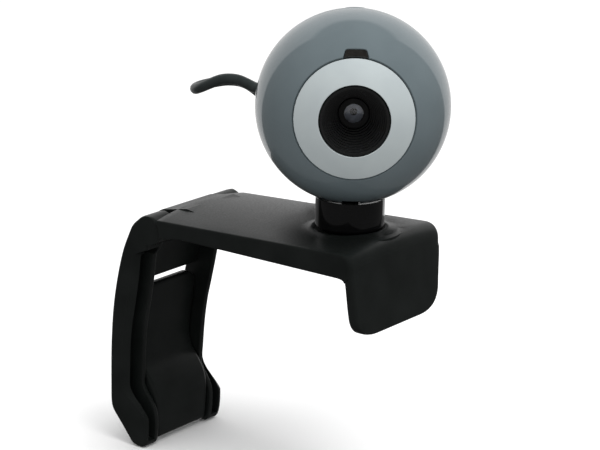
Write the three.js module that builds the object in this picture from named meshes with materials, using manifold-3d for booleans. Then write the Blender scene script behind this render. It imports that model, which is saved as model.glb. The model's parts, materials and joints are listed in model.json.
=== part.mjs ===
// A ball-shaped webcam on a folding monitor clip.
// Millimetres, +Z up, the clip's lip at the front (-Y) and its folding leg at the back (+Y).
// The origin is the middle of the rubber pad that rests on a monitor's top edge.
import * as THREE from 'three';
import { mergeVertices } from 'three/addons/utils/BufferGeometryUtils.js';
import Module from 'manifold-3d';

const wasm = await Module();
wasm.setup();

// ---------------------------------------------------------------- driving dimensions
const GAP = 0.3;                  // clearance between touching pieces
const CUT = 1;                    // how far a cutter runs past the face that it cuts

// Ball
const ballRadius = 30;
const shellWall = 2;
const seamGap = 0.15;             // half of the gap between the two shells
const neckHeight = 10;            // from the neck's foot to the lowest point of the ball
const restPan = -54;              // degrees, the head turned from straight ahead
const restTilt = 3.5;             // degrees, the lens raised above level
const tiltReach = 18;             // degrees, each way from level

// Focus ring and lens
const ringRadius = 18.1;
const ringHole = 10.75;
const ringDepth = 2.6;
const ringWall = 2;               // thickness behind the ring's face
const flangeProud = 0.5;          // how far the ring's flange catches behind the shell
const lensDepth = 16;             // from the ball's foremost point to the front of the lens barrel
const barrelRadius = 4.6;
const barrelLength = 9;
const lensRadius = 3.3;
const funnelWall = 1.1;
const funnelSteps = 4;

// Light window over the ring
const windowHeight = 2.5;
const windowTopWidth = 6.1;
const windowBottomWidth = 7.3;

// Snapshot button
const buttonWidth = 6.5;
const buttonLength = 8;
const buttonBack = 6.6;           // button centre behind the seam
const buttonProud = 0.35;
const buttonFlange = 0.8;

// Electronics
const boardFace = 0.5;            // front face of the board behind the seam
const boardThickness = 1.2;
const boardEdgeGap = 4;           // board edge to the inside of the shell
const boardFloor = -18.5;         // the board's straight lower edge
const bossRadius = 2.6;
const screwShank = 1.1;
const screwHead = 2.3;

// Neck
const neckRadius = 10.8;
const tongueWidth = 5;
const tongueLength = 5;
const spigotRadius = 5;
const shoeRadius = 9.5;
const shoeThickness = 2.4;

// Top plate
const plateTop = 8.7;             // plate surface at the neck
const plateSlope = 2.5;           // degrees, falling towards the hinge
const plateCrown = 1.2;           // the middle above the side edges
const plateFront = 18.3;          // front face of the lip, ahead of the neck axis
const plateRear = 59;
const plateHalfFront = 24.4;
const plateHalfRear = 22.9;
const plateFloor = 0.4;           // plate's lower face above the pad's resting face
const lipThickness = 3;
const lipDrop = 18.6;
const lipLean = 4;                // degrees
const bendRadius = 6;
const padThickness = 1.2;
const padWidth = 36;

// Leg and hinge
const hingeY = plateRear + 4;
const hingeZ = 0.5;
const earRadius = 5;
const pinRadius = 1.5;
const tongueHalf = 12.2;
const washerThickness = 0.6;
const legHalfTop = 22.4;
const legTaper = 0.0346;          // narrowing of each side per millimetre of height
const legLength = 75.3;           // from the hinge pin down to the foot
const outerWall = 1.6;
const grooveWidth = 2.6;
const innerWall = 2.2;
const webThickness = 2.5;
const crossbarTop = -3.5;
const crossbarBottom = -20.2;
const crossbarThickness = 3.6;

// Flap
const flapPinBack = 7;            // behind the hinge pin
const flapPinLift = 6.3;          // above the leg's foot
const flapDrop = 22.5;            // from the hinge pin down to the flap's free end
const flapThickness = 3.6;

// Cord
const cordDiameter = 3.5;
const reliefLength = 12;
const reliefSide = 40;            // degrees to the side of straight back
const reliefRise = -2.2;          // degrees
const coilBack = 43.5;
const coilDrop = 10.5;
const coilMean = 38.5;            // across the middle of the turns
const coilBundle = 15;
const plugGrip = [16, 8, 25];
const plugShell = [12, 4.5, 13];

// ---------------------------------------------------------------- helpers
const rad = THREE.MathUtils.degToRad;

// The angle in degrees at which a circle of one radius lies on a ball of another.
function reachAngle(radius, ball) {
  return THREE.MathUtils.radToDeg(Math.asin(radius / ball));
}

// A point in the seam's plane, at a radius from the lens axis and an angle above its right side.
function aroundLens(radius, angle) {
  return [radius * Math.cos(rad(angle)), 0, radius * Math.sin(rad(angle))];
}

// A closed geometry as a solid that can be cut and joined.
function solid(geometry) {
  const bare = geometry.clone();
  bare.deleteAttribute('normal');
  bare.deleteAttribute('uv');
  const merged = mergeVertices(bare, 1e-4);
  const corners = merged.index.array;
  const kept = [];
  for (let i = 0; i < corners.length; i += 3) {
    const [a, b, c] = [corners[i], corners[i + 1], corners[i + 2]];
    if (a !== b && b !== c && c !== a) kept.push(a, b, c);
  }
  return new wasm.Manifold(new wasm.Mesh({
    numProp: 3,
    vertProperties: merged.attributes.position.array,
    triVerts: new Uint32Array(kept),
  }));
}

function meshOf(shape) {
  const { vertProperties, triVerts } = shape.getMesh();
  const geometry = new THREE.BufferGeometry();
  geometry.setAttribute('position', new THREE.BufferAttribute(new Float32Array(vertProperties), 3));
  geometry.setIndex(new THREE.BufferAttribute(new Uint32Array(triVerts), 1));
  geometry.computeVertexNormals();
  return geometry;
}

// A closed profile of [radius, height] turned about the Y axis.
function turn(profile, segments = 40) {
  const points = [...profile, profile[0]].map(([r, y]) => new THREE.Vector2(r, y));
  const made = solid(new THREE.LatheGeometry(points, segments));
  return made.volume() < 0 ? turn([...profile].reverse(), segments) : made;
}

// The same about the Z axis.
function turnZ(profile, segments = 40) {
  return turn(profile, segments).rotate([90, 0, 0]);
}

function box(size, centre) {
  return solid(new THREE.BoxGeometry(...size)).translate(centre);
}

// A round bar from y0 to y1, along Y.
function bar(radius, y0, y1, segments = 20) {
  return turn([[0, y0], [radius, y0], [radius, y1], [0, y1]], segments);
}

function barX(radius, x0, x1, segments = 20) {
  return bar(radius, x0, x1, segments).rotate([0, 0, -90]);
}

function barZ(radius, z0, z1, segments = 20) {
  return bar(radius, z0, z1, segments).rotate([90, 0, 0]);
}

function outline(points) {
  return new THREE.Shape(points.map(([a, b]) => new THREE.Vector2(a, b)));
}

// Points on an arc between two angles in degrees, anticlockwise or, when the second is less, clockwise.
function arcPoints([a, b], radius, from, to, steps) {
  return Array.from({ length: steps + 1 }, (_, i) => {
    const angle = rad(from + ((to - from) * i) / steps);
    return [a + radius * Math.cos(angle), b + radius * Math.sin(angle)];
  });
}

// A smooth line through points, as a list of more points.
function smooth(points, steps) {
  const line = new THREE.SplineCurve(points.map(([a, b]) => new THREE.Vector2(a, b)));
  return line.getPoints(steps).map((p) => [p.x, p.y]);
}

// A curve with one control point, from start to end.
function bend(start, control, end, steps = 4) {
  const line = new THREE.QuadraticBezierCurve(...[start, control, end].map(([a, b]) => new THREE.Vector2(a, b)));
  return line.getPoints(steps).map((p) => [p.x, p.y]);
}

// A shape in X and Y raised from z0 to z1.
function prism(shape, z0, z1, curveSegments = 2) {
  const options = { depth: z1 - z0, bevelEnabled: false, curveSegments };
  return solid(new THREE.ExtrudeGeometry(shape, options)).translate([0, 0, z0]);
}

// A side profile in Y and Z carried across X between two faces, each a number or a function of z.
function slab(profile, xLow, xHigh) {
  const geometry = new THREE.ExtrudeGeometry(outline(profile), { depth: 1, bevelEnabled: false });
  const place = geometry.attributes.position;
  const at = (face, z) => (typeof face === 'function' ? face(z) : face);
  for (let i = 0; i < place.count; i += 1) {
    const [y, z, t] = [place.getX(i), place.getY(i), place.getZ(i)];
    place.setXYZ(i, at(xLow, z) * (1 - t) + at(xHigh, z) * t, y, z);
  }
  return solid(geometry);
}

function roundedRect(width, height, radius, cx = 0, cy = 0) {
  const [w, h] = [width / 2, height / 2];
  const shape = new THREE.Shape();
  shape.absarc(cx + w - radius, cy - h + radius, radius, -Math.PI / 2, 0);
  shape.absarc(cx + w - radius, cy + h - radius, radius, 0, Math.PI / 2);
  shape.absarc(cx - w + radius, cy + h - radius, radius, Math.PI / 2, Math.PI);
  shape.absarc(cx - w + radius, cy - h + radius, radius, Math.PI, Math.PI * 1.5);
  return shape;
}

// Points on a circle about the ball's centre, as [radius, y], between two angles from the lens axis.
function arc(radius, from, to, steps) {
  return Array.from({ length: steps + 1 }, (_, i) => {
    const angle = rad(from + (to - from) * (i / steps));
    return [radius * Math.sin(angle), -radius * Math.cos(angle)];
  });
}

function join(...solids) {
  return solids.reduce((sum, next) => sum.add(next));
}

function cut(body, ...tools) {
  return tools.reduce((left, tool) => left.subtract(tool), body);
}

function material(color, roughness, metalness = 0) {
  return new THREE.MeshStandardMaterial({ color, roughness, metalness });
}

const finish = {
  shell: material(0x66767a, 0.2),
  shellRear: material(0x15181a, 0.25),
  ring: material(0xbcc4c8, 0.35, 0.6),
  matt: material(0x0c0d0d, 0.6),
  window: material(0x1a0f0c, 0.1),
  clip: material(0x141615, 0.45),
  neck: material(0x080808, 0.15),
  rubber: material(0x1a1b1c, 0.85),
  steel: material(0xb0b4b8, 0.3, 1),
  nylon: material(0xe8e6df, 0.5),
  board: material(0x1f5a35, 0.5),
  chip: material(0x1b1b1d, 0.6),
  glass: material(0x50607a, 0.05),
  cord: material(0x1e2424, 0.5),
  diode: material(0xd8862a, 0.3),
};

function add(parent, name, shape, look) {
  const piece = new THREE.Mesh(meshOf(shape), look);
  piece.name = name;
  parent.add(piece);
  return piece;
}

// ---------------------------------------------------------------- frames
const webcam = new THREE.Group();
const ballCentre = plateTop + neckHeight - 1.3 + ballRadius;

const clip = new THREE.Group();
const neck = new THREE.Group();                 // turned about the neck's axis
neck.rotation.z = rad(restPan);
const cordFrame = new THREE.Group();            // the neck's frame, moved up to the ball's centre
cordFrame.position.z = ballCentre;
const head = new THREE.Group();                 // lens along -Y
head.position.z = ballCentre;
head.rotation.x = rad(-restTilt);
neck.add(head, cordFrame);
webcam.add(clip, neck);

// ---------------------------------------------------------------- ball shells
const innerRadius = ballRadius - shellWall;
const openingRadius = ringRadius + 0.35;
const openingAngle = reachAngle(openingRadius, ballRadius);
const innerOpeningAngle = reachAngle(openingRadius, innerRadius);
const windowAngle = openingAngle + reachAngle(windowHeight / 2, ballRadius);
const boardRadius = innerRadius - boardEdgeGap;
const shellScrewAt = aroundLens(innerRadius - 2.9, 40);
const boardScrewAt = aroundLens(boardRadius - 2.2, -26.5);

// Half a hollow ball between two angles from the lens axis, on the front or the back side of the seam.
function halfShell(from, innerFrom) {
  const edge = (r) => THREE.MathUtils.radToDeg(Math.acos(seamGap / r));
  return turn([
    ...arc(ballRadius, from, edge(ballRadius), from > 0 ? 7 : 10),
    ...arc(innerRadius, edge(innerRadius), innerFrom, from > 0 ? 5 : 7),
  ]);
}

// The slot in the bottom of the ball that the neck's tongue passes through.
function tongueSlot() {
  const reach = ballRadius * Math.sin(rad(tiltReach)) + tongueLength / 2 + 2 * GAP;
  return box([tongueWidth + 2 * GAP, 2 * reach, 4 * shellWall], [0, 0, -ballRadius + shellWall]);
}

// A boss on the shell's wall that runs to the plane y = end, trimmed by the ball's inside.
function boss([x, , z], radius, end, side) {
  const post = side < 0 ? bar(radius, -ballRadius, end, 14) : bar(radius, end, ballRadius, 14);
  const trim = solid(new THREE.SphereGeometry(innerRadius + shellWall / 2, 32, 16));
  return post.translate([x, 0, z]).intersect(trim);
}

function mirrored([x, y, z]) {
  return [[x, y, z], [-x, y, z]];
}

// The window's outline, grown by a margin and run on downwards, as a prism across the shell's wall.
function windowPrism(margin, low, inner, outer) {
  const half = windowHeight / 2;
  const flare = (low * (windowBottomWidth - windowTopWidth)) / 2 / windowHeight;
  const shape = outline([
    [-windowBottomWidth / 2 - margin - flare, -half - low],
    [windowBottomWidth / 2 + margin + flare, -half - low],
    [windowTopWidth / 2 + margin, half + margin],
    [-windowTopWidth / 2 - margin, half + margin],
  ]);
  return prism(shape, inner, outer).rotate([90 - windowAngle, 0, 0]);
}

function buttonShape(margin) {
  const width = buttonWidth + 2 * margin;
  return roundedRect(width, buttonLength + 2 * margin, width / 2 - 0.05, 0, buttonBack);
}

function frontShell() {
  const pilot = ([x, , z]) => bar(screwShank + GAP, -9, CUT, 10).translate([x, 0, z]);
  let shell = halfShell(openingAngle, innerOpeningAngle);
  for (const at of mirrored(shellScrewAt)) shell = shell.add(boss(at, bossRadius, -GAP, -1));
  for (const at of mirrored(boardScrewAt)) shell = shell.add(boss(at, bossRadius - 0.5, boardFace - GAP, -1));
  return cut(
    shell,
    tongueSlot(),
    windowPrism(GAP, 3, innerRadius - 3, ballRadius + CUT),
    ...mirrored(shellScrewAt).map(pilot),
    ...mirrored(boardScrewAt).map(pilot),
  );
}

// The gland's axis points backwards and to the side.
function alongRelief(shape) {
  return shape.rotate([reliefRise, 0, 0]).rotate([0, 0, reliefSide]);
}

const reliefHole = 4;

function rearShell() {
  const seat = ([x, , z]) => bar(screwHead + GAP, 8, ballRadius, 16).translate([x, 0, z]);
  const through = ([x, , z]) => bar(screwShank + GAP, 0, 9, 10).translate([x, 0, z]);
  let shell = halfShell(0, 0).mirror([0, 1, 0]);
  for (const at of mirrored(shellScrewAt)) shell = shell.add(boss(at, bossRadius + 0.9, GAP, 1));
  return cut(
    shell,
    tongueSlot(),
    alongRelief(bar(reliefHole, innerRadius - 4, ballRadius + CUT, 24)),
    prism(buttonShape(GAP), innerRadius - 4, ballRadius + CUT, 4),
    ...mirrored(shellScrewAt).map(seat),
    ...mirrored(shellScrewAt).map(through),
  );
}

add(head, 'front_shell', frontShell(), finish.shell);
add(head, 'rear_shell', rearShell(), finish.shellRear);

mirrored(shellScrewAt).forEach(([x, , z], i) => {
  const screw = join(bar(screwHead, 8.3, 10.2, 14), bar(screwShank, -8, 9, 8));
  add(head, `shell_screw_${i ? 'left' : 'right'}`, screw.translate([x, 0, z]), finish.steel);
});

function ledWindow() {
  const ball = solid(new THREE.SphereGeometry(ballRadius, 48, 32));
  const aroundRing = bar(openingRadius, -ballRadius, 0, 48);
  return cut(windowPrism(0, 1, innerRadius, ballRadius + CUT).intersect(ball), aroundRing);
}

add(head, 'led_window', ledWindow(), finish.window);

const diodeTip = innerRadius - 4.2;
const diode = join(barZ(1.5, diodeTip - 3.4, diodeTip, 14), barZ(1.9, diodeTip - 4.2, diodeTip - 3.2, 14));
add(head, 'status_led', diode.rotate([90 - windowAngle, 0, 0]), finish.diode);

// ---------------------------------------------------------------- snapshot button
function snapshotButton() {
  const cap = solid(new THREE.SphereGeometry(ballRadius + buttonProud, 40, 24));
  const stem = prism(buttonShape(0), innerRadius - 3.2, ballRadius + CUT, 4).intersect(cap);
  const flange = prism(buttonShape(buttonFlange), innerRadius - 3.7, innerRadius - 2.7, 4);
  return stem.add(flange);
}

add(head, 'snapshot_button', snapshotButton(), finish.shell);

// ---------------------------------------------------------------- focus ring, funnel and lens
const ringAngle = reachAngle(ringRadius, ballRadius);
const ringHoleAngle = reachAngle(ringHole, ballRadius);
const flangeRadius = openingRadius + flangeProud;
const flangeFront = -Math.sqrt(innerRadius ** 2 - flangeRadius ** 2) + 1.5 * GAP;
const ringBack = -ballRadius * Math.cos(rad(ringHoleAngle)) + ringDepth;
const barrelFront = -ballRadius + lensDepth;
const barrelBack = barrelFront + barrelLength;

function focusRing() {
  const inner = ringRadius - 1.8;
  const innerDepth = ringWall - Math.sqrt(ballRadius ** 2 - inner ** 2);
  return turn([
    ...arc(ballRadius, ringHoleAngle, ringAngle, 4),
    [ringRadius, flangeFront],
    [flangeRadius, flangeFront],
    [flangeRadius, flangeFront + 1.3],
    [inner, flangeFront + 1.3],
    [inner, innerDepth],
    [ringHole + 2, ringBack],
    [ringHole, ringBack],
  ], 44);
}

// A cone of fine steps from the ring's hole down to the lens.
function lensFunnel() {
  const [wide, narrow] = [ringHole - GAP, barrelRadius + GAP];
  const front = -ballRadius * Math.cos(rad(ringHoleAngle)) + 0.4;
  const back = barrelFront + 1.5;
  const inside = [];
  for (let i = 0; i < funnelSteps; i += 1) {
    const radius = wide - funnelWall - ((wide - funnelWall - narrow) * i) / (funnelSteps - 1);
    inside.push([radius, front + ((back - front) * i) / funnelSteps]);
    inside.push([radius, front + ((back - front) * (i + 1)) / funnelSteps]);
  }
  return turn([[wide, front], ...inside, [narrow + funnelWall, back]], 32);
}

add(head, 'focus_ring', focusRing(), finish.ring);
add(head, 'lens_funnel', lensFunnel(), finish.matt);

function lensBarrel() {
  const bore = lensRadius + GAP;
  return turn([
    [lensRadius - 0.4, barrelFront],
    [barrelRadius, barrelFront],
    [barrelRadius, barrelFront + 2.4],
    [barrelRadius - 0.6, barrelFront + 2.8],
    [barrelRadius - 0.6, barrelBack],
    [lensRadius - 1, barrelBack],
    [lensRadius - 1, barrelFront + 5.4],
    [bore, barrelFront + 5.1],
    [bore, barrelFront + 1],
    [lensRadius - 0.4, barrelFront + 0.7],
  ], 22);
}

// A lens with a bulging front face and a flat back.
function lens(radius, front, edge, bulge) {
  const steps = 3;
  const face = Array.from({ length: steps + 1 }, (_, i) => {
    const r = (radius * i) / steps;
    return [r, front + bulge * (r / radius) ** 2];
  });
  return turn([...face, [radius, front + bulge + edge], [0, front + bulge + edge]], 20);
}

add(head, 'lens_barrel', lensBarrel(), finish.matt);
add(head, 'front_lens', lens(lensRadius, barrelFront + 1.2, 1, 1), finish.glass);
add(head, 'rear_lens', lens(lensRadius, barrelFront + 3.5, 0.7, 0.6), finish.glass);

// ---------------------------------------------------------------- board and what it carries
function mainBoard() {
  const thickness = [boardFace, boardFace + boardThickness];
  const disc = bar(boardRadius, ...thickness, 36);
  const below = box([2 * ballRadius, 10, ballRadius], [0, boardFace, boardFloor - ballRadius / 2]);
  const notch = ([x, , z]) => bar(bossRadius + 1.5, -1, 5, 16).translate([x, 0, z]);
  const hole = ([x, , z]) => bar(screwShank + GAP, -1, 5, 10).translate([x, 0, z]);
  return cut(
    disc,
    below,
    ...mirrored(shellScrewAt).map(notch),
    ...mirrored(boardScrewAt).map(hole),
  );
}

add(head, 'main_board', mainBoard(), finish.board);

const boardBack = boardFace + boardThickness;
mirrored(boardScrewAt).forEach(([x, , z], i) => {
  const top = boardBack + GAP;
  const screw = join(bar(2, top, top + 1.4, 12), bar(screwShank, -7, top + 0.5, 8));
  add(head, `board_screw_${i ? 'left' : 'right'}`, screw.translate([x, 0, z]), finish.steel);
});

// The holder screws round the barrel, keeps the filter and covers the sensor.
const holderBack = boardFace - GAP;
const sensorThickness = 1.3;
const holderFront = barrelFront + 4;
const ledge = barrelBack + 0.6;

function lensHolder() {
  const tube = barrelRadius - 0.6 + 0.35;
  const body = join(bar(tube + 1.9, holderFront, holderBack, 24), box([14, 3.4, 14], [0, holderBack - 1.7, 0]));
  return cut(
    body,
    bar(tube, holderFront - CUT, ledge + 0.8, 24),
    bar(2.6, ledge, holderBack, 16),
    box([9.4, sensorThickness + 1.2, 9.4], [0, holderBack - sensorThickness / 2 + 0.3, 0]),
  );
}

add(head, 'lens_holder', lensHolder(), finish.matt);
add(head, 'ir_filter', bar(barrelRadius - 0.7, ledge, ledge + 0.5, 20), finish.glass);
add(head, 'image_sensor', box([8, sensorThickness - GAP, 8], [0, holderBack - sensorThickness / 2 + 0.15, 0]), finish.chip);

const onBack = (size, x, z) => box(size, [x, boardBack + GAP + size[1] / 2, z]);
add(head, 'controller_chip', onBack([10, 1.4, 10], 0, 0), finish.chip);
add(head, 'crystal_can', onBack([11, 3.5, 4.5], -4, 11), finish.steel);
add(head, 'cable_header', onBack([8, 5, 5], -9, -11), finish.nylon);
const can = bar(2.5, boardBack + GAP, boardBack + GAP + 5.5, 20).translate([9, 0, -9]);
add(head, 'capacitor', can, finish.chip);
add(head, 'microphone', bar(3, boardFace - GAP - 2.2, boardFace - GAP, 20).translate([11, 0, -13]), finish.steel);

function buttonSwitch() {
  const reach = innerRadius - 3.7 - 0.7;
  const y = boardBack + GAP + 1.8;
  const body = box([6, 3.6, 3.5], [0, y, reach - 0.7 - 1.75]);
  return body.add(barZ(1.1, reach - 1.5, reach, 16).translate([0, y, 0]));
}

add(head, 'button_switch', buttonSwitch(), finish.chip);

// ---------------------------------------------------------------- strain relief
function strainRelief() {
  const tip = ballRadius + reliefLength;
  const waist = reliefHole - GAP;
  return alongRelief(turn([
    [0, innerRadius - 3],
    [waist + 1.2, innerRadius - 3],
    [waist + 1.2, innerRadius - 1.6],
    [waist, innerRadius - 1.6],
    [waist, ballRadius + 0.8],
    [cordDiameter / 2 + 0.9, tip],
    [0, tip],
  ], 20));
}

add(head, 'strain_relief', strainRelief(), finish.rubber);

// ---------------------------------------------------------------- neck
const neckFoot = plateTop + 0.2;
const saddle = ballRadius + 0.35;
const washerTop = 4.3;
const washerBottom = washerTop - 0.6;
const boreRadius = 1.9;
const shoeOuter = innerRadius - 0.35;
const shoeInner = shoeOuter - shoeThickness;

function neckPost() {
  const top = ballCentre - saddle;
  const post = turnZ([
    [0, neckFoot + 0.1],
    [neckRadius - 1.3, neckFoot + 0.1],
    [neckRadius - 0.5, neckFoot + 0.6],
    [neckRadius, neckFoot + 2],
    [neckRadius, top + 4],
    [0, top + 4],
  ], 36);
  const ball = solid(new THREE.SphereGeometry(saddle, 36, 24)).translate([0, 0, ballCentre]);
  const tongueTop = ballCentre - innerRadius;
  const tongue = box([tongueWidth, tongueLength, tongueTop - top + 3], [0, 0, (tongueTop + top - 3) / 2]);
  const spigot = barZ(spigotRadius, washerBottom, neckFoot + 1, 24);
  return cut(join(post.subtract(ball), tongue, spigot), barZ(boreRadius, 0, ballCentre, 16));
}

add(neck, 'neck_post', neckPost(), finish.neck);

// The cap inside the ball that the tongue carries: the ball's wall slides between it and the saddle.
function tiltShoe() {
  const cap = turn([
    ...arc(shoeOuter, 0, reachAngle(shoeRadius, shoeOuter), 3),
    ...arc(shoeInner, reachAngle(shoeRadius, shoeInner), 0, 3),
  ], 24);
  return cut(cap.rotate([90, 0, 0]), barZ(boreRadius, -ballRadius, 0, 16)).translate([0, 0, ballCentre]);
}

add(neck, 'tilt_shoe', tiltShoe(), finish.nylon);

const shoeSeat = ballCentre - shoeInner;
const shoeScrewHead = [shoeSeat + 0.5, shoeSeat + 2];
const shoeScrew = join(barZ(3, ...shoeScrewHead, 20), barZ(1.5, shoeSeat - 9, shoeSeat + 1, 12));
add(neck, 'shoe_screw', shoeScrew, finish.steel);

const panScrewHead = [washerBottom - GAP - 1.4, washerBottom - GAP];
const panScrew = join(barZ(7.2, ...panScrewHead, 24), barZ(1.5, panScrewHead[0] + 0.5, shoeSeat - 10, 12));
add(neck, 'pan_screw', panScrew, finish.steel);

const washerInner = spigotRadius + GAP;
const panWasher = turnZ([
  [washerInner, washerBottom],
  [washerInner + 3.4, washerBottom],
  [washerInner + 3.4, washerTop],
  [washerInner, washerTop],
], 24);
add(neck, 'pan_washer', panWasher, finish.nylon);

// ---------------------------------------------------------------- top plate
const leanSlope = Math.tan(rad(lipLean));
const fallSlope = Math.tan(rad(plateSlope));
const topAt = (y) => plateTop - fallSlope * y;

// The plate's profile from the hinge to the lip's tip, in Y and Z.
function plateProfile() {
  const inner = -plateFront + lipThickness;
  const round = lipThickness / 2 - 0.2;
  const outerTip = -plateFront - leanSlope * lipDrop;
  const innerTip = inner - leanSlope * lipDrop;
  const bendTop = [-plateFront + bendRadius, topAt(-plateFront + bendRadius)];
  return [
    [plateRear, plateFloor],
    [plateRear, topAt(plateRear)],
    ...bend(bendTop, [-plateFront, topAt(-plateFront)], [-plateFront, plateTop - bendRadius], 6),
    ...bend([outerTip, round - lipDrop], [outerTip, -lipDrop], [outerTip + round, -lipDrop], 3),
    ...bend([innerTip - round, -lipDrop], [innerTip, -lipDrop], [innerTip, round - lipDrop], 3).slice(1),
    ...bend([inner - leanSlope, plateFloor - 1], [inner, plateFloor], [inner + 1, plateFloor], 2),
  ];
}

// The plate seen from the front: crowned on top, its lip narrowing to rounded lower corners.
function frontProfile() {
  const [half, crown, corner] = [plateHalfFront + CUT, plateTop + CUT, 7.5];
  const lipHalf = plateHalfFront - 1.4;
  const right = [
    ...bend([lipHalf - corner - 3.4, 0.25 - lipDrop], [lipHalf - 0.6, CUT - lipDrop], [lipHalf, corner - lipDrop], 5),
    [half - CUT, 0],
    ...bend([half, crown - plateCrown - CUT], [half / 2, crown], [0, crown], 5),
  ];
  const left = right.slice(0, -1).reverse().map(([x, z]) => [-x, z]);
  return outline([[0, -lipDrop], ...right, ...left]);
}

function planProfile() {
  const [front, corner] = [-plateFront - 2, 5];
  const right = [
    ...bend([plateHalfFront - corner, front + 0.4], [plateHalfFront, front + 0.8], [plateHalfFront, front + corner]),
    [plateHalfRear, plateRear + CUT],
  ];
  return outline([[0, front], ...right, ...[...right].reverse().map(([x, y]) => [-x, y])]);
}

// The tongue between the leg's ears, rounded about the hinge pin.
function hingeTongue() {
  const radius = earRadius + 0.2;
  return slab([
    [hingeY - 14, plateFloor],
    ...arcPoints([hingeY, hingeZ], radius, -100, 90, 9),
    [hingeY - 8, topAt(hingeY - 8) - 0.1],
    [hingeY - 14, topAt(hingeY - 14) - 1],
  ], -tongueHalf, tongueHalf);
}

const pocketRadius = washerInner + 3.4 + GAP;
const padLength = 26;
const rearPadLength = 9;
const rearPadY = plateRear - 16;
const neckSeat = 0.7;             // depth of the dish that the neck's foot stands in

function topPlate() {
  const side = slab(plateProfile(), -plateHalfFront - CUT, plateHalfFront + CUT);
  const front = prism(frontProfile(), -plateRear - 2 * CUT, plateFront + 5).rotate([90 - plateSlope, 0, 0]);
  const plan = prism(planProfile(), -lipDrop - CUT, plateTop + 5);
  const collar = turnZ([
    [0, plateTop - 2],
    [neckRadius + 4.2, plateTop - 2],
    [neckRadius + 4.2, plateTop - 0.2],
    [neckRadius + 2, plateTop],
    [neckRadius + 0.9, plateTop + 0.5],
    [0, plateTop + 0.5],
  ], 36);
  const seat = turnZ([
    [0, neckFoot - neckSeat + 0.5],
    [neckRadius - 1, neckFoot - neckSeat + 0.5],
    [neckRadius + GAP, neckFoot + 0.4],
    [neckRadius + GAP, plateTop + 5],
    [0, plateTop + 5],
  ], 36);
  const recess = (length, y) => box([padWidth + 2 * GAP, length + 2 * GAP, 6], [0, y, padThickness + GAP - 3]);
  const [cellStart, cellEnd] = [padLength / 2 + 4.5, rearPadY - rearPadLength / 2 - 4];
  const cellSize = [11, cellEnd - cellStart, 4];
  const cells = [-1, 0, 1].map((column) => box(cellSize, [12.6 * column, (cellStart + cellEnd) / 2, 0.9]));
  const [near, far] = [tongueHalf, plateHalfRear + 5];
  const earRoom = barX(earRadius + 0.4, near, far, 28).translate([0, hingeY, hingeZ]);
  return cut(
    join(side.intersect(front).intersect(plan), collar, hingeTongue()),
    seat,
    barZ(spigotRadius + GAP, 0, plateTop + CUT, 24),
    barZ(pocketRadius, -CUT, washerTop + GAP, 28),
    recess(padLength, 0),
    recess(rearPadLength, rearPadY),
    ...cells,
    lipRecess(),
    barX(pinRadius + GAP, -tongueHalf - CUT, tongueHalf + CUT).translate([0, hingeY, hingeZ]),
    earRoom,
    earRoom.mirror([1, 0, 0]),
  );
}

// The lip's inner face leans, so its pad is made upright and turned with it.
const lipPadSize = [32, 0.9, 9];
const lipPadZ = -8.5;

function onLip(shape) {
  const y = -plateFront + lipThickness + leanSlope * lipPadZ;
  return shape.rotate([-lipLean, 0, 0]).translate([0, y, lipPadZ]);
}

function lipRecess() {
  const [w, , h] = lipPadSize;
  return onLip(box([w + 2 * GAP, 2, h + 2 * GAP], [0, 1 - 0.6 - GAP, 0]));
}

add(clip, 'top_plate', topPlate(), finish.clip);
add(clip, 'lip_pad', onLip(box(lipPadSize, [0, lipPadSize[1] / 2 - 0.6, 0])), finish.rubber);
add(clip, 'underside_pad', prism(roundedRect(padWidth, padLength, 1), 0, padThickness), finish.rubber);
const rearPadShape = roundedRect(padWidth, rearPadLength, 1, 0, rearPadY);
add(clip, 'underside_pad_rear', prism(rearPadShape, 0, padThickness), finish.rubber);

// ---------------------------------------------------------------- hinge
const earInner = tongueHalf + washerThickness + 2 * GAP;
const pinReach = legHalfTop - 1.9;
const hingePin = barX(pinRadius, -pinReach, pinReach).translate([0, hingeY, hingeZ]);
add(clip, 'hinge_pin', hingePin, finish.steel);

for (const [name, side] of [['left', -1], ['right', 1]]) {
  const face = side * (tongueHalf + GAP);
  const far = face + side * washerThickness;
  const washer = turn([
    [pinRadius + GAP, Math.min(face, far)],
    [earRadius - 0.8, Math.min(face, far)],
    [earRadius - 0.8, Math.max(face, far)],
    [pinRadius + GAP, Math.max(face, far)],
  ], 20).rotate([0, 0, -90]).translate([0, hingeY, hingeZ]);
  add(clip, `hinge_washer_${name}`, washer, finish.nylon);
}

// ---------------------------------------------------------------- rear leg
const legBottom = hingeZ - legLength;
const flapPinY = hingeY + flapPinBack;
const flapPinZ = legBottom + flapPinLift;
const outerX = (z) => legHalfTop - legTaper * (hingeZ + earRadius - z);
const railWidth = outerWall + grooveWidth + innerWall;

// The side profiles below are lists of offsets from the hinge pin, on a leg of this length.
const drawnLength = 75.3;
const stretch = legLength / drawnLength;

// The leg's back edge below the ear: it bows backwards, then turns under.
const legBack = [
  [3.6, 3.5], [6.3, 1], [8.4, -3], [10.7, -8.5], [13.2, -17.5], [15.3, -28.5], [16.5, -41], [17, -55], [17, -63.5],
];
// Its front edge, from the foot up to the ear, with a step forward at the foot.
const legFront = [[2, -72], [1.7, -67], [2, -64], [2.8, -61.8], [4.2, -59.5], [6.2, -56.8], [6.9, -55]];
const legFrontUpper = [[6.8, -51], [6.3, -41], [5.4, -33.5], [3.9, -26], [2.4, -18], [1.3, -10], [0.4, -5.3]];

function fromHinge(points) {
  return points.map(([y, z]) => [hingeY + y, hingeZ + z * (z < -earRadius ? stretch : 1)]);
}

const earArc = arcPoints([hingeY, hingeZ], earRadius, 252, 45, 9);

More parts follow.
